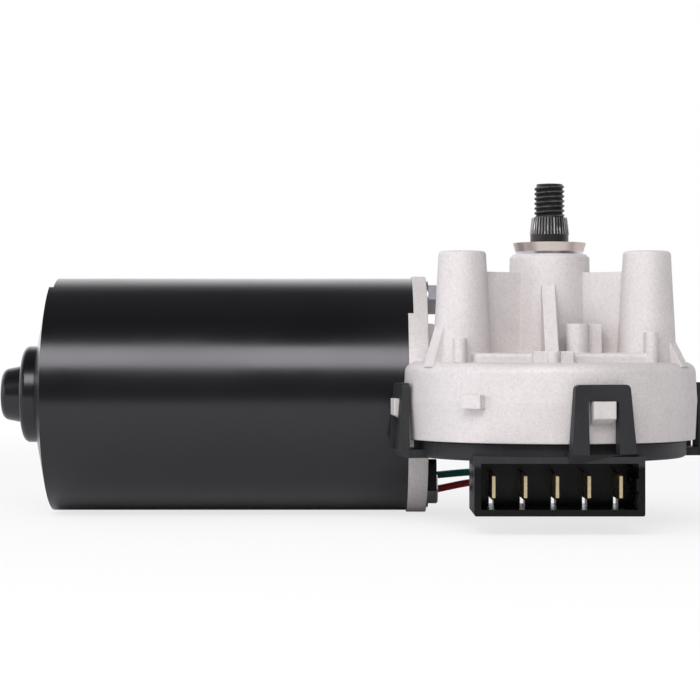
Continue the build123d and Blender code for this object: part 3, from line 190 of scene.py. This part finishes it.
class Field:
    """A number, colour, vector or shader that a node gives, so that shader maths reads as Python."""

    def __init__(self, recipe, socket):
        self.recipe = recipe
        self.socket = socket

    def maths(self, operation, first, second):
        return self.recipe.node("ShaderNodeMath", {"operation": operation}, {0: first, 1: second})

    def __add__(self, other):
        return self.maths("ADD", self, other)

    __radd__ = __add__

    def __sub__(self, other):
        return self.maths("SUBTRACT", self, other)

    def __rsub__(self, other):
        return self.maths("SUBTRACT", other, self)

    def __mul__(self, other):
        return self.maths("MULTIPLY", self, other)

    __rmul__ = __mul__

    def __pow__(self, other):
        return self.maths("POWER", self, other)

    def __gt__(self, other):
        return self.maths("GREATER_THAN", self, other)

    def __or__(self, other):
        return self.maths("MAXIMUM", self, other)


class Recipe:
    """The nodes of a material, or of the world, under construction."""

    def __init__(self, owner, shader="Principled BSDF", output="Material Output", coordinates="Object"):
        owner.use_nodes = True
        self.owner = owner
        self.tree = owner.node_tree
        self.shader = self.tree.nodes[shader]
        self.output = self.tree.nodes[output]
        self.place = self.node("ShaderNodeTexCoord", out=coordinates)

    def node(self, kind, settings=None, values=None, out=0):
        """Adds a node with its settings and its sockets' values or links; gives one output."""
        made = self.tree.nodes.new(kind)
        for key, value in (settings or {}).items():
            setattr(made, key, value)
        self.fill(made, values or {})
        return Field(self, made.outputs[out])

    def fill(self, made, values):
        """Gives a node's sockets their values or links."""
        for key, value in values.items():
            if isinstance(value, Field):
                self.tree.links.new(value.socket, made.inputs[key])
            else:
                made.inputs[key].default_value = value

    def noise(self, scale, detail=2.0, roughness=0.5, place=None):
        values = {"Vector": place or self.place, "Scale": scale, "Detail": detail, "Roughness": roughness}
        return self.node("ShaderNodeTexNoise", {}, values)

    def stretched(self, scale):
        return self.node("ShaderNodeMapping", {}, {"Vector": self.place, "Scale": scale})

    def vector_maths(self, operation, *vectors):
        """A number from one or two vectors, such as a length or a dot product."""
        values = dict(enumerate(vectors))
        return self.node("ShaderNodeVectorMath", {"operation": operation}, values, out="Value")

    def axis(self, name):
        return self.node("ShaderNodeSeparateXYZ", {}, {"Vector": self.place}, out=name)

    def ray(self, kind):
        """1 for one kind of ray, such as those from the camera."""
        return self.node("ShaderNodeLightPath", out=f"Is {kind} Ray")

    def between(self, value, low, high, start=0.0, end=1.0, easing="LINEAR"):
        """Maps a value's span onto another, held at both ends."""
        values = {"Value": value, "From Min": low, "From Max": high, "To Min": start, "To Max": end}
        return self.node("ShaderNodeMapRange", {"interpolation_type": easing, "clamp": True}, values)

    def eased(self, value, span, start, end):
        """Maps a value's span onto another, with a soft start and end."""
        return self.between(value, *span, start, end, easing="SMOOTHSTEP")

    def cloudy(self, noise, low, high):
        """Wanders with a noise between two values."""
        return self.between(noise, *NOISE_SPAN, low, high)

    def mix(self, amount, first, second):
        """Mixes two colours."""
        made = self.tree.nodes.new("ShaderNodeMix")
        made.data_type = "RGBA"
        sockets = {socket.identifier: socket for socket in (*made.inputs, *made.outputs)}
        for key, value in (("Factor_Float", amount), ("A_Color", first), ("B_Color", second)):
            if isinstance(value, Field):
                self.tree.links.new(value.socket, sockets[key])
            else:
                sockets[key].default_value = value
        return Field(self, sockets["Result_Color"])

    def mix_shaders(self, amount, first, second):
        return self.node("ShaderNodeMixShader", {}, {0: amount, 1: first, 2: second})

    def bump(self, height, strength, distance, normal=None):
        values = {"Height": height, "Strength": strength, "Distance": distance}
        if normal:
            values["Normal"] = normal
        return self.node("ShaderNodeBump", {}, values)

    def rounded_normal(self, radius):
        """The normal with sharp edges rounded off."""
        return self.node("ShaderNodeBevel", {"samples": 4}, {"Radius": radius})

    def edge(self, rounded, low, high):
        """1 along sharp edges, where the rounded normal leaves the face's own."""
        plain = self.node("ShaderNodeNewGeometry", out="Normal")
        match = self.vector_maths("DOT_PRODUCT", rounded, plain)
        return self.between(1.0 - match, low, high)

    def uniform(self, values):
        """Sets sockets of the shader that are the same all over."""
        self.fill(self.shader, values)

    def surface(self, **sockets):
        """Sets the shader's sockets, named with underscores, and gives the material."""
        self.fill(self.shader, {key.replace("_", " ").title(): value for key, value in sockets.items()})
        return self.owner

    def own_shader(self):
        return Field(self, self.shader.outputs[0])

    def show(self, shader):
        """Sends a shader to the output."""
        self.fill(self.output, {"Surface": shader})
        return self.owner


def rgba(colour, factor=1.0):
    """A colour with alpha, from a grey or an RGB, made lighter or darker by a factor."""
    values = (colour,) * 3 if isinstance(colour, (int, float)) else tuple(colour)[:3]
    return tuple(min(1.0, value * factor) for value in values) + (1.0,)


# ---- finishes --------------------------------------------------------------------


def new_finish(name):
    return Recipe(bpy.data.materials.new(name))


def stoved_paint(look):
    """Gloss paint with a faint orange-peel flow."""
    recipe = new_finish("stoved_paint")
    flow = recipe.noise(260.0, detail=1.0)
    fine = recipe.noise(3200.0, detail=2.0)
    smear = recipe.noise(30.0, detail=4.0)
    recipe.uniform({"Specular IOR Level": 0.55, "Specular Tint": (0.97, 0.94, 1.0, 1.0)})
    return recipe.surface(
        base_color=recipe.mix(smear, rgba(look.paint_colour, 0.8), rgba(look.paint_colour, 1.3)),
        roughness=recipe.cloudy(smear, look.paint_roughness - 0.03, look.paint_roughness + 0.05),
        normal=recipe.bump(flow + fine * 0.08, strength=0.12, distance=0.06 * MM))


def blasted_casting(look):
    """Die-cast aluminium, shot-blasted: finely pitted grey with bright flecks, and a painted highlight
    along the sharp edges.
    """
    recipe = new_finish("blasted_casting")
    metal = look.casting_colour
    cloud = recipe.noise(48.0, detail=5.0, roughness=0.6)
    mottle = recipe.noise(1300.0, detail=3.0, roughness=0.6)
    grain = recipe.noise(3200.0, detail=2.0, roughness=0.6)
    pits = recipe.node("ShaderNodeTexVoronoi", {"feature": "F1"}, {
        "Vector": recipe.place, "Scale": 1500.0, "Randomness": 1.0})
    rounded = recipe.rounded_normal(0.5 * MM)
    tone = recipe.mix(recipe.between(cloud, 0.35, 0.65), rgba(metal, 0.93), rgba(metal, 1.04))
    tone = recipe.mix(recipe.between(mottle, 0.45, 0.65) * 0.32, tone, rgba(metal, 0.76))
    tone = recipe.mix(recipe.between(grain, 0.55, 0.7) * 0.5, tone, rgba(metal, 1.28))
    tone = recipe.mix(recipe.between(pits, 0.14, 0.04) * 0.4, tone, rgba((0.26, 0.24, 0.24)))
    # painted highlight: the colour is lightened along sharp edges, where the rounded normal leaves the
    # face's own
    tone = recipe.mix(recipe.edge(rounded, 0.02, 0.25) * 0.55, tone, rgba(metal, 1.3))
    recipe.uniform({"Metallic": 0.25})
    relief = grain + mottle * 0.9 - recipe.between(pits, 0.25, 0.0) * 0.5
    return recipe.surface(
        base_color=tone,
        roughness=recipe.cloudy(mottle, look.casting_roughness - 0.1, look.casting_roughness + 0.08),
        normal=recipe.bump(relief, strength=0.5, distance=0.14 * MM, normal=rounded))


def moulded_plastic(look):
    """Glass-filled plastic: eroded grain on the cover and clips; below the socket's top, smoother and much
    darker.
    """
    recipe = new_finish("moulded_plastic")
    plastic = look.plastic_colour
    grain = recipe.noise(2600.0, detail=3.0, roughness=0.6)
    cloud = recipe.noise(70.0, detail=4.0, roughness=0.6)
    fibres = recipe.noise(900.0, detail=2.0, place=recipe.stretched((1.0, 1.0, 0.2)))
    socket = recipe.between(recipe.axis("Z"), SOCKET_TOP + SOCKET_BLEND, SOCKET_TOP - SOCKET_BLEND)
    tone = recipe.mix(cloud, rgba(plastic, 0.8), rgba(plastic, 1.2))
    tone = recipe.mix(recipe.between(fibres, 0.6, 0.75) * 0.4, tone, rgba(plastic, 1.8))
    sheen = recipe.cloudy(cloud, look.plastic_roughness - 0.05, look.plastic_roughness + 0.07)
    relief = grain + fibres * 0.4 - socket * grain * 0.8
    recipe.uniform({"Specular IOR Level": 0.25})
    return recipe.surface(
        base_color=recipe.mix(socket, tone, rgba(plastic, 0.05)),
        roughness=sheen - socket * 0.24,
        normal=recipe.bump(relief, strength=0.3, distance=0.1 * MM))


def phosphated_steel(look):
    """Blackened steel, worn bright on the crests of the taper and the thread."""
    recipe = new_finish("phosphated_steel")
    cloud = recipe.noise(500.0, detail=4.0, roughness=0.6)
    grain = recipe.noise(4000.0, detail=2.0)
    x, y, z = recipe.axis("X"), recipe.axis("Y"), recipe.axis("Z")
    radius = (x * x + y * y) ** 0.5
    on_taper = (z > TAPER_BASE) * (TAPER_TOP - z > 0.0)
    crest_radius = recipe.between(z, TAPER_BASE, TAPER_TOP, TAPER_BASE_CREST, TAPER_TOP_CREST)
    crest = recipe.between(radius - crest_radius, -0.1 * MM, 0.1 * MM) * on_taper
    on_thread = z > TAPER_TOP
    thread_crest = recipe.between(radius, THREAD_RADIUS - 0.12 * MM, THREAD_RADIUS - 0.02 * MM) * on_thread
    worn = recipe.between((crest * 1.2 + thread_crest * 0.3) * (cloud + 0.5), 0.25, 0.75)
    tone = recipe.mix(cloud, rgba(0.012), rgba(0.03))
    return recipe.surface(
        base_color=recipe.mix(worn, tone, rgba((0.62, 0.6, 0.58))),
        metallic=recipe.between(worn, 0.0, 1.0, 0.25, 1.0),
        roughness=recipe.cloudy(cloud, 0.34, 0.5),
        normal=recipe.bump(grain, strength=0.2, distance=0.05 * MM))


def plated_metal(name, colour, roughness):
    """A plated or rolled metal with faint grain and clouding."""
    recipe = new_finish(name)
    cloud = recipe.noise(220.0, detail=4.0, roughness=0.6)
    grain = recipe.noise(1200.0, detail=2.0)
    recipe.uniform({"Metallic": 1.0})
    return recipe.surface(
        base_color=recipe.mix(cloud, rgba(colour, 0.82), rgba(colour, 1.15)),
        roughness=recipe.cloudy(cloud, roughness - 0.07, roughness + 0.09),
        normal=recipe.bump(grain, strength=0.1, distance=0.05 * MM))


def soft_matt(name, colour, roughness):
    """Rubber, carbon, ferrite and other matt bodies."""
    recipe = new_finish(name)
    cloud = recipe.noise(300.0, detail=4.0, roughness=0.6)
    grain = recipe.noise(1500.0, detail=3.0)
    return recipe.surface(
        base_color=recipe.mix(cloud, rgba(colour, 0.8), rgba(colour, 1.25)),
        roughness=recipe.cloudy(cloud, roughness - 0.06, roughness + 0.06),
        normal=recipe.bump(grain, strength=0.25, distance=0.08 * MM))


def wound_copper(look):
    """Enamelled copper wire wound in rings about the motor's axis."""
    recipe = new_finish("wound_copper")
    strands = recipe.node("ShaderNodeTexWave", {"wave_type": "RINGS", "rings_direction": "X"}, {
        "Vector": recipe.place, "Scale": 900.0, "Distortion": 2.0, "Detail": 2.0})
    recipe.uniform({"Metallic": 0.9})
    return recipe.surface(
        base_color=recipe.mix(strands, rgba((0.28, 0.09, 0.04)), rgba((0.75, 0.33, 0.16))),
        roughness=recipe.between(strands, 0.0, 1.0, 0.45, 0.25),
        normal=recipe.bump(strands, strength=0.5, distance=0.2 * MM))


def stacked_sheets(look):
    """Steel sheets stacked along the motor's axis."""
    recipe = new_finish("stacked_sheets")
    sheets = recipe.node("ShaderNodeTexWave", {"wave_type": "BANDS", "bands_direction": "X"}, {
        "Vector": recipe.place, "Scale": 320.0})
    recipe.uniform({"Metallic": 0.9})
    return recipe.surface(
        base_color=recipe.mix(sheets, rgba(0.12), rgba(0.34)),
        roughness=recipe.between(sheets, 0.0, 1.0, 0.5, 0.36),
        normal=recipe.bump(sheets, strength=0.4, distance=0.05 * MM))


def wire_sleeve(name, colour):
    """A wire's smooth coloured insulation."""
    recipe = new_finish(name)
    cloud = recipe.noise(400.0, detail=3.0)
    return recipe.surface(
        base_color=recipe.mix(cloud, rgba(colour, 0.8), rgba(colour, 1.25)),
        roughness=recipe.cloudy(cloud, 0.3, 0.42),
        normal=recipe.bump(cloud, strength=0.1, distance=0.05 * MM))


FINISHES = {
    "can_black": stoved_paint,
    "cast_aluminium": blasted_casting,
    "black_plastic": moulded_plastic,
    "dark_steel": phosphated_steel,
    "zinc_steel": lambda look: plated_metal("zinc_plate", (0.52, 0.51, 0.555), 0.34),
    "bright_steel": lambda look: plated_metal("ground_steel", (0.6, 0.6, 0.61), 0.24),
    "bronze": lambda look: plated_metal("sintered_bronze", (0.74, 0.64, 0.59), 0.36),
    "brass": lambda look: plated_metal("brass_strip", (0.8, 0.66, 0.42), 0.26),
    "copper": wound_copper,
    "black_rubber": lambda look: soft_matt("black_rubber", (0.012, 0.012, 0.013), 0.62),
    "gasket_rubber": lambda look: soft_matt("gasket_rubber", (0.006, 0.006, 0.0065), 0.75),
    "acetal": lambda look: soft_matt("acetal", (0.75, 0.73, 0.68), 0.4),
    "ferrite": lambda look: soft_matt("ferrite", (0.06, 0.06, 0.065), 0.55),
    "carbon": lambda look: soft_matt("carbon", (0.02, 0.02, 0.02), 0.5),
    "lamination": stacked_sheets,
    "green_wire": lambda look: wire_sleeve("green_sleeve", (0.0, 0.16, 0.12)),
    "red_wire": lambda look: wire_sleeve("red_sleeve", (0.42, 0.008, 0.02)),
}

# the finishes already made, by slot
made_finishes = {}


def finish_of(slot):
    """The slot's material, made once."""
    if slot not in made_finishes:
        made_finishes[slot] = FINISHES[slot](bpy.context.scene.wiper_finish)
    return made_finishes[slot]


def dress(*slots):
    """Gives every carried-over node of these slots its finish."""
    for node, slot in SLOT_OF.items():
        if slot in slots:
            coat(bpy.data.objects[node], slot)


def coat(piece, slot):
    piece.data.materials.clear()
    piece.data.materials.append(finish_of(slot))


# ---- modelling helpers -----------------------------------------------------------


def deselect_all():
    bpy.ops.object.select_all(action="DESELECT")


def make_active(piece):
    deselect_all()
    piece.select_set(True)
    bpy.context.view_layer.objects.active = piece


def select_whole_mesh():
    bpy.ops.object.mode_set(mode="EDIT")
    bpy.ops.mesh.select_all(action="SELECT")


def weld(distance):
    """Merges the active piece's vertices that are this close."""
    select_whole_mesh()
    bpy.ops.mesh.remove_doubles(threshold=distance)
    bpy.ops.object.mode_set(mode="OBJECT")


def screw_up(piece, rise, turns, steps, merge=False):
    """Sweeps a section or a line about the upright axis, rising by the same amount in each turn."""
    screw = piece.modifiers.new("Screw", "SCREW")
    screw.angle = math.radians(360)
    screw.screw_offset = rise
    screw.iterations = turns
    screw.steps = steps
    screw.render_steps = steps
    screw.use_merge_vertices = merge
    bpy.ops.object.modifier_apply(modifier="Screw")


def copy_of_node(node, name):
    """A piece that starts as a welded copy of a node's mesh."""
    piece = bpy.data.objects[node].copy()
    piece.data = piece.data.copy()
    piece.name = name
    bpy.context.scene.collection.objects.link(piece)
    world_place = piece.matrix_world.copy()
    piece.parent = None
    piece.matrix_world = world_place
    make_active(piece)
    weld(WELD_DISTANCE)
    return piece


def bisect(piece, height, keep_below):
    """Cuts a piece at a height and closes the cut."""
    make_active(piece)
    select_whole_mesh()
    bpy.ops.mesh.bisect(
        plane_co=(0, 0, height), plane_no=(0, 0, 1), use_fill=True, clear_outer=keep_below,
        clear_inner=not keep_below, threshold=CUT_TOLERANCE)
    bpy.ops.object.mode_set(mode="OBJECT")


# ---- steps -----------------------------------------------------------------------


class WIPER_OT_motor_can(bpy.types.Operator):
    """Paint the motor can"""

    bl_idname = "wiper.motor_can"
    bl_label = "Motor Can"

    def execute(self, context):
        dress("can_black")
        return {"FINISHED"}


class WIPER_OT_gear_casting(bpy.types.Operator):
    """Blast the gear case"""

    bl_idname = "wiper.gear_casting"
    bl_label = "Gear Casting"

    def execute(self, context):
        dress("cast_aluminium")
        return {"FINISHED"}


class WIPER_OT_cover_and_socket(bpy.types.Operator):
    """Finish the cover, the socket, the gasket and the rubber pieces"""

    bl_idname = "wiper.cover_and_socket"
    bl_label = "Cover and Socket"

    def execute(self, context):
        dress("black_plastic", "black_rubber", "gasket_rubber")
        return {"FINISHED"}


class WIPER_OT_threaded_shaft(bpy.types.Operator):
    """Roll the stud's thread and join it to the shaft"""

    bl_idname = "wiper.threaded_shaft"
    bl_label = "Threaded Shaft"

    def execute(self, context):
        shaft = copy_of_node("output_shaft", "threaded_shaft")
        bisect(shaft, TAPER_TOP + STUD_OVERLAP, keep_below=True)
        thread = self.rolled_thread(context)
        make_active(shaft)
        thread.select_set(True)
        bpy.ops.object.join()
        coat(shaft, "dark_steel")
        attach(shaft, "output")
        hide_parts("output_shaft")
        return {"FINISHED"}

    def rolled_thread(self, context):
        """A V thread: a zigzag line turned once with a rise of one pitch, cut flat at both ends."""
        turns = math.ceil((STUD_TOP - TAPER_TOP) / THREAD_PITCH) + 3
        start = TAPER_TOP - 2 * THREAD_PITCH
        line = bpy.data.meshes.new("stud_thread")
        points = []
        for turn in range(turns):
            rise = start + turn * THREAD_PITCH
            points.append((THREAD_RADIUS - THREAD_DEPTH, 0, rise))
            points.append((THREAD_RADIUS, 0, rise + CREST_START * THREAD_PITCH))
            points.append((THREAD_RADIUS, 0, rise + CREST_END * THREAD_PITCH))
        line.from_pydata(points, [(i, i + 1) for i in range(len(points) - 1)], [])
        thread = bpy.data.objects.new("stud_thread", line)
        context.scene.collection.objects.link(thread)
        make_active(thread)
        screw_up(thread, THREAD_PITCH, 1, THREAD_STEPS, merge=True)
        weld(THREAD_WELD)
        bisect(thread, STUD_TOP, keep_below=True)
        bisect(thread, TAPER_TOP, keep_below=False)
        self.chamfer_point(thread.data)
        bpy.ops.object.shade_smooth_by_angle(angle=THREAD_SHARP_ANGLE)
        return thread

    def chamfer_point(self, mesh):
        """Narrows the upper end of the stud and turns its faces outwards."""
        shape = bmesh.new()
        shape.from_mesh(mesh)
        for vertex in shape.verts:
            reach = math.hypot(vertex.co.x, vertex.co.y)
            limit = THREAD_RADIUS - max(0.0, vertex.co.z - (STUD_TOP - CHAMFER_HEIGHT)) * CHAMFER_SLOPE
            if reach > limit > 0:
                vertex.co.x *= limit / reach
                vertex.co.y *= limit / reach
        bmesh.ops.recalc_face_normals(shape, faces=shape.faces)
        shape.to_mesh(mesh)
        shape.free()


class WIPER_OT_brush_springs(bpy.types.Operator):
    """Coil the three brush springs"""

    bl_idname = "wiper.brush_springs"
    bl_label = "Brush Springs"

    def execute(self, context):
        low, high = (Vector(corner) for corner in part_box("brush_spring_1"))
        centre = Vector(((low.x + high.x) / 2, (low.y + high.y) / 2, MOTOR_AXIS_Z))
        radius = (high.y - low.y - SPRING_WIRE) / 2
        length = high.z - low.z
        for number, joint in enumerate(BRUSH_JOINTS, start=1):
            outwards = Vector(JOINT_OF[joint]["axis"])
            seat = centre + outwards * (high.z - MOTOR_AXIS_Z)
            spring = self.coil(context, f"coil_spring_{number}", radius, length)
            turn = Vector((0, 0, 1)).rotation_difference(outwards).to_matrix().to_4x4()
            spring.data.transform(Matrix.Translation(seat) @ turn @ Matrix.Translation((0, 0, -length)))
            coat(spring, SLOT_OF[f"brush_spring_{number}"])
            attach(spring, "housing")
            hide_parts(f"brush_spring_{number}")
            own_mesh(spring)
        return {"FINISHED"}

    def coil(self, context, name, radius, length):
        """A wire's round section swept up a helix from 0 to the length, closed at both ends."""
        deselect_all()
        bpy.ops.mesh.primitive_circle_add(
            vertices=WIRE_SIDES, radius=SPRING_WIRE / 2, location=(radius, 0, SPRING_WIRE / 2),
            rotation=(math.radians(90), 0, 0))
        piece = context.active_object
        piece.name = name
        bpy.ops.object.transform_apply(location=True, rotation=True, scale=True)
        screw_up(piece, (length - SPRING_WIRE) / SPRING_TURNS, SPRING_TURNS, SPRING_STEPS)
        bpy.ops.object.mode_set(mode="EDIT")
        bpy.ops.mesh.select_mode(type="EDGE")
        bpy.ops.mesh.select_all(action="DESELECT")
        bpy.ops.mesh.select_non_manifold()
        bpy.ops.mesh.edge_face_add()
        bpy.ops.mesh.select_all(action="SELECT")
        bpy.ops.mesh.normals_make_consistent(inside=False)
        bpy.ops.object.mode_set(mode="OBJECT")
        bpy.ops.object.shade_smooth_by_angle(angle=WIRE_SHARP_ANGLE)
        return piece


class WIPER_OT_metal_fittings(bpy.types.Operator):
    """Plate the bolts, washers, bearings, terminals and other metal fittings"""

    bl_idname = "wiper.metal_fittings"
    bl_label = "Metal Fittings"

    def execute(self, context):
        dress("dark_steel", "zinc_steel", "bright_steel", "bronze", "brass")
        return {"FINISHED"}


class WIPER_OT_wires(bpy.types.Operator):
    """Sleeve the two wires"""

    bl_idname = "wiper.wires"
    bl_label = "Wires"

    def execute(self, context):
        dress("green_wire", "red_wire")
        return {"FINISHED"}


class WIPER_OT_inner_works(bpy.types.Operator):
    """Finish the wheel, the armature, the magnets and the brushes"""

    bl_idname = "wiper.inner_works"
    bl_label = "Inner Works"

    def execute(self, context):
        dress("copper", "acetal", "ferrite", "carbon", "lamination")
        return {"FINISHED"}


class WIPER_OT_studio(bpy.types.Operator):
    """Build the floor, the lamps and the camera"""

    bl_idname = "wiper.studio"
    bl_label = "Studio"

    def execute(self, context):
        studio = context.scene.wiper_studio
        self.add_floor(context)
        self.add_world(context.scene)
        self.add_lamp("key_lamp", KEY_LAMP_PLACE, KEY_LAMP_SIZE, studio.key_power)
        self.add_lamp("left_lamp", LEFT_LAMP_PLACE, LEFT_LAMP_SIZE, studio.fill_power, LEFT_LAMP_TINT)
        camera = bpy.data.cameras.new("camera")
        camera.sensor_width = SENSOR_WIDTH
        camera.lens = studio.focal_length
        camera.clip_end = VIEW_DEPTH
        stand = bpy.data.objects.new("camera", camera)
        stand.location = studio.eye
        stand.rotation_euler = (math.radians(90), 0, 0)
        context.scene.collection.objects.link(stand)
        context.scene.camera = stand
        context.scene.view_settings.view_transform = "Standard"
        return {"FINISHED"}

    def add_floor(self, context):
        """A pale table: white far away to the camera, and dark in front of the camera in mirror images."""
        deselect_all()
        bpy.ops.mesh.primitive_plane_add(size=FLOOR_SIZE, location=(0, 0, FLOOR_Z))
        floor = context.active_object
        floor.name = "floor"
        recipe = new_finish("floor")
        recipe.uniform({"Base Color": rgba(FLOOR_GREY), "Roughness": FLOOR_ROUGHNESS})
        glow = recipe.node("ShaderNodeEmission")
        shade = recipe.node("ShaderNodeEmission", {}, {"Strength": FLOOR_SHADE})
        reach = recipe.vector_maths("LENGTH", recipe.place)
        seen = recipe.ray("Camera") * recipe.eased(reach, NEAR_TO_FAR, FLOOR_GLOW, 1.0)
        mirrored = recipe.ray("Glossy") * recipe.eased(recipe.axis("Y"), MOTOR_TO_FRONT, 0.0, 1.0)
        lit = recipe.mix_shaders(seen, recipe.own_shader(), glow)
        floor.data.materials.append(recipe.show(recipe.mix_shaders(mirrored, lit, shade)))

    def add_world(self, scene):
        """A bright backdrop behind, a dim room in front and above, and plain white to the camera."""
        recipe = Recipe(bpy.data.worlds.new("studio"), "Background", "World Output", "Generated")
        white = recipe.node("ShaderNodeBackground", {}, {"Color": rgba(1.0)})
        x, y, z = recipe.axis("X"), recipe.axis("Y"), recipe.axis("Z")
        backdrop = recipe.eased(y, ROOM_TO_BACKDROP, ROOM_LIGHT, BACKDROP_LIGHT)
        mirrored = backdrop * recipe.eased(z, LEVEL_TO_OVERHEAD, 1.0, OVERHEAD_SHARE)
        across = recipe.eased(x, LEFT_TO_RIGHT, AMBIENT_LEFT, AMBIENT_RIGHT)
        ambient = across * recipe.eased(y, FRONT_TO_BACK, AMBIENT_FRONT, AMBIENT_BACK)
        strength = ambient + recipe.ray("Glossy") * (mirrored - ambient)
        recipe.fill(recipe.shader, {"Color": ROOM_TINT, "Strength": strength})
        seen = recipe.ray("Camera") | recipe.ray("Transmission")
        scene.world = recipe.show(recipe.mix_shaders(seen, recipe.own_shader(), white))

    def add_lamp(self, name, place, size, power, colour=(1.0, 1.0, 1.0)):
        lamp = bpy.data.lights.new(name, "AREA")
        lamp.color = colour
        lamp.shape = "RECTANGLE"
        lamp.size, lamp.size_y = size
        lamp.energy = power
        stand = bpy.data.objects.new(name, lamp)
        stand.location = place
        stand.rotation_euler = (Vector(LAMP_TARGET) - Vector(place)).to_track_quat("-Z", "Y").to_euler()
        bpy.context.scene.collection.objects.link(stand)


OPERATORS = (
    WIPER_OT_motor_can,
    WIPER_OT_gear_casting,
    WIPER_OT_cover_and_socket,
    WIPER_OT_metal_fittings,
    WIPER_OT_brush_springs,
    WIPER_OT_threaded_shaft,
    WIPER_OT_wires,
    WIPER_OT_inner_works,
    WIPER_OT_studio,
)


class WIPER_PT_panel(bpy.types.Panel):
    """Lists the motor's settings and the steps that finish it"""

    bl_idname = "WIPER_PT_panel"
    bl_label = "Wiper Motor"
    bl_space_type = "VIEW_3D"
    bl_region_type = "UI"
    bl_category = "Wiper Motor"

    def draw(self, context):
        for settings in (context.scene.wiper_finish, context.scene.wiper_studio):
            for name in settings.__annotations__:
                self.layout.prop(settings, name)
        for operator in OPERATORS:
            self.layout.operator(operator.bl_idname)


CLASSES = (FinishSettings, StudioSettings) + OPERATORS + (WIPER_PT_panel,)


def register():
    for cls in CLASSES:
        bpy.utils.register_class(cls)
    bpy.types.Scene.wiper_finish = bpy.props.PointerProperty(type=FinishSettings)
    bpy.types.Scene.wiper_studio = bpy.props.PointerProperty(type=StudioSettings)


def unregister():
    del bpy.types.Scene.wiper_finish
    del bpy.types.Scene.wiper_studio
    for cls in reversed(CLASSES):
        bpy.utils.unregister_class(cls)


def main():
    register()
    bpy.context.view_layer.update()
    for operator in OPERATORS:
        group, name = operator.bl_idname.split(".")
        getattr(getattr(bpy.ops, group), name)()


if __name__ == "__main__":
    main()
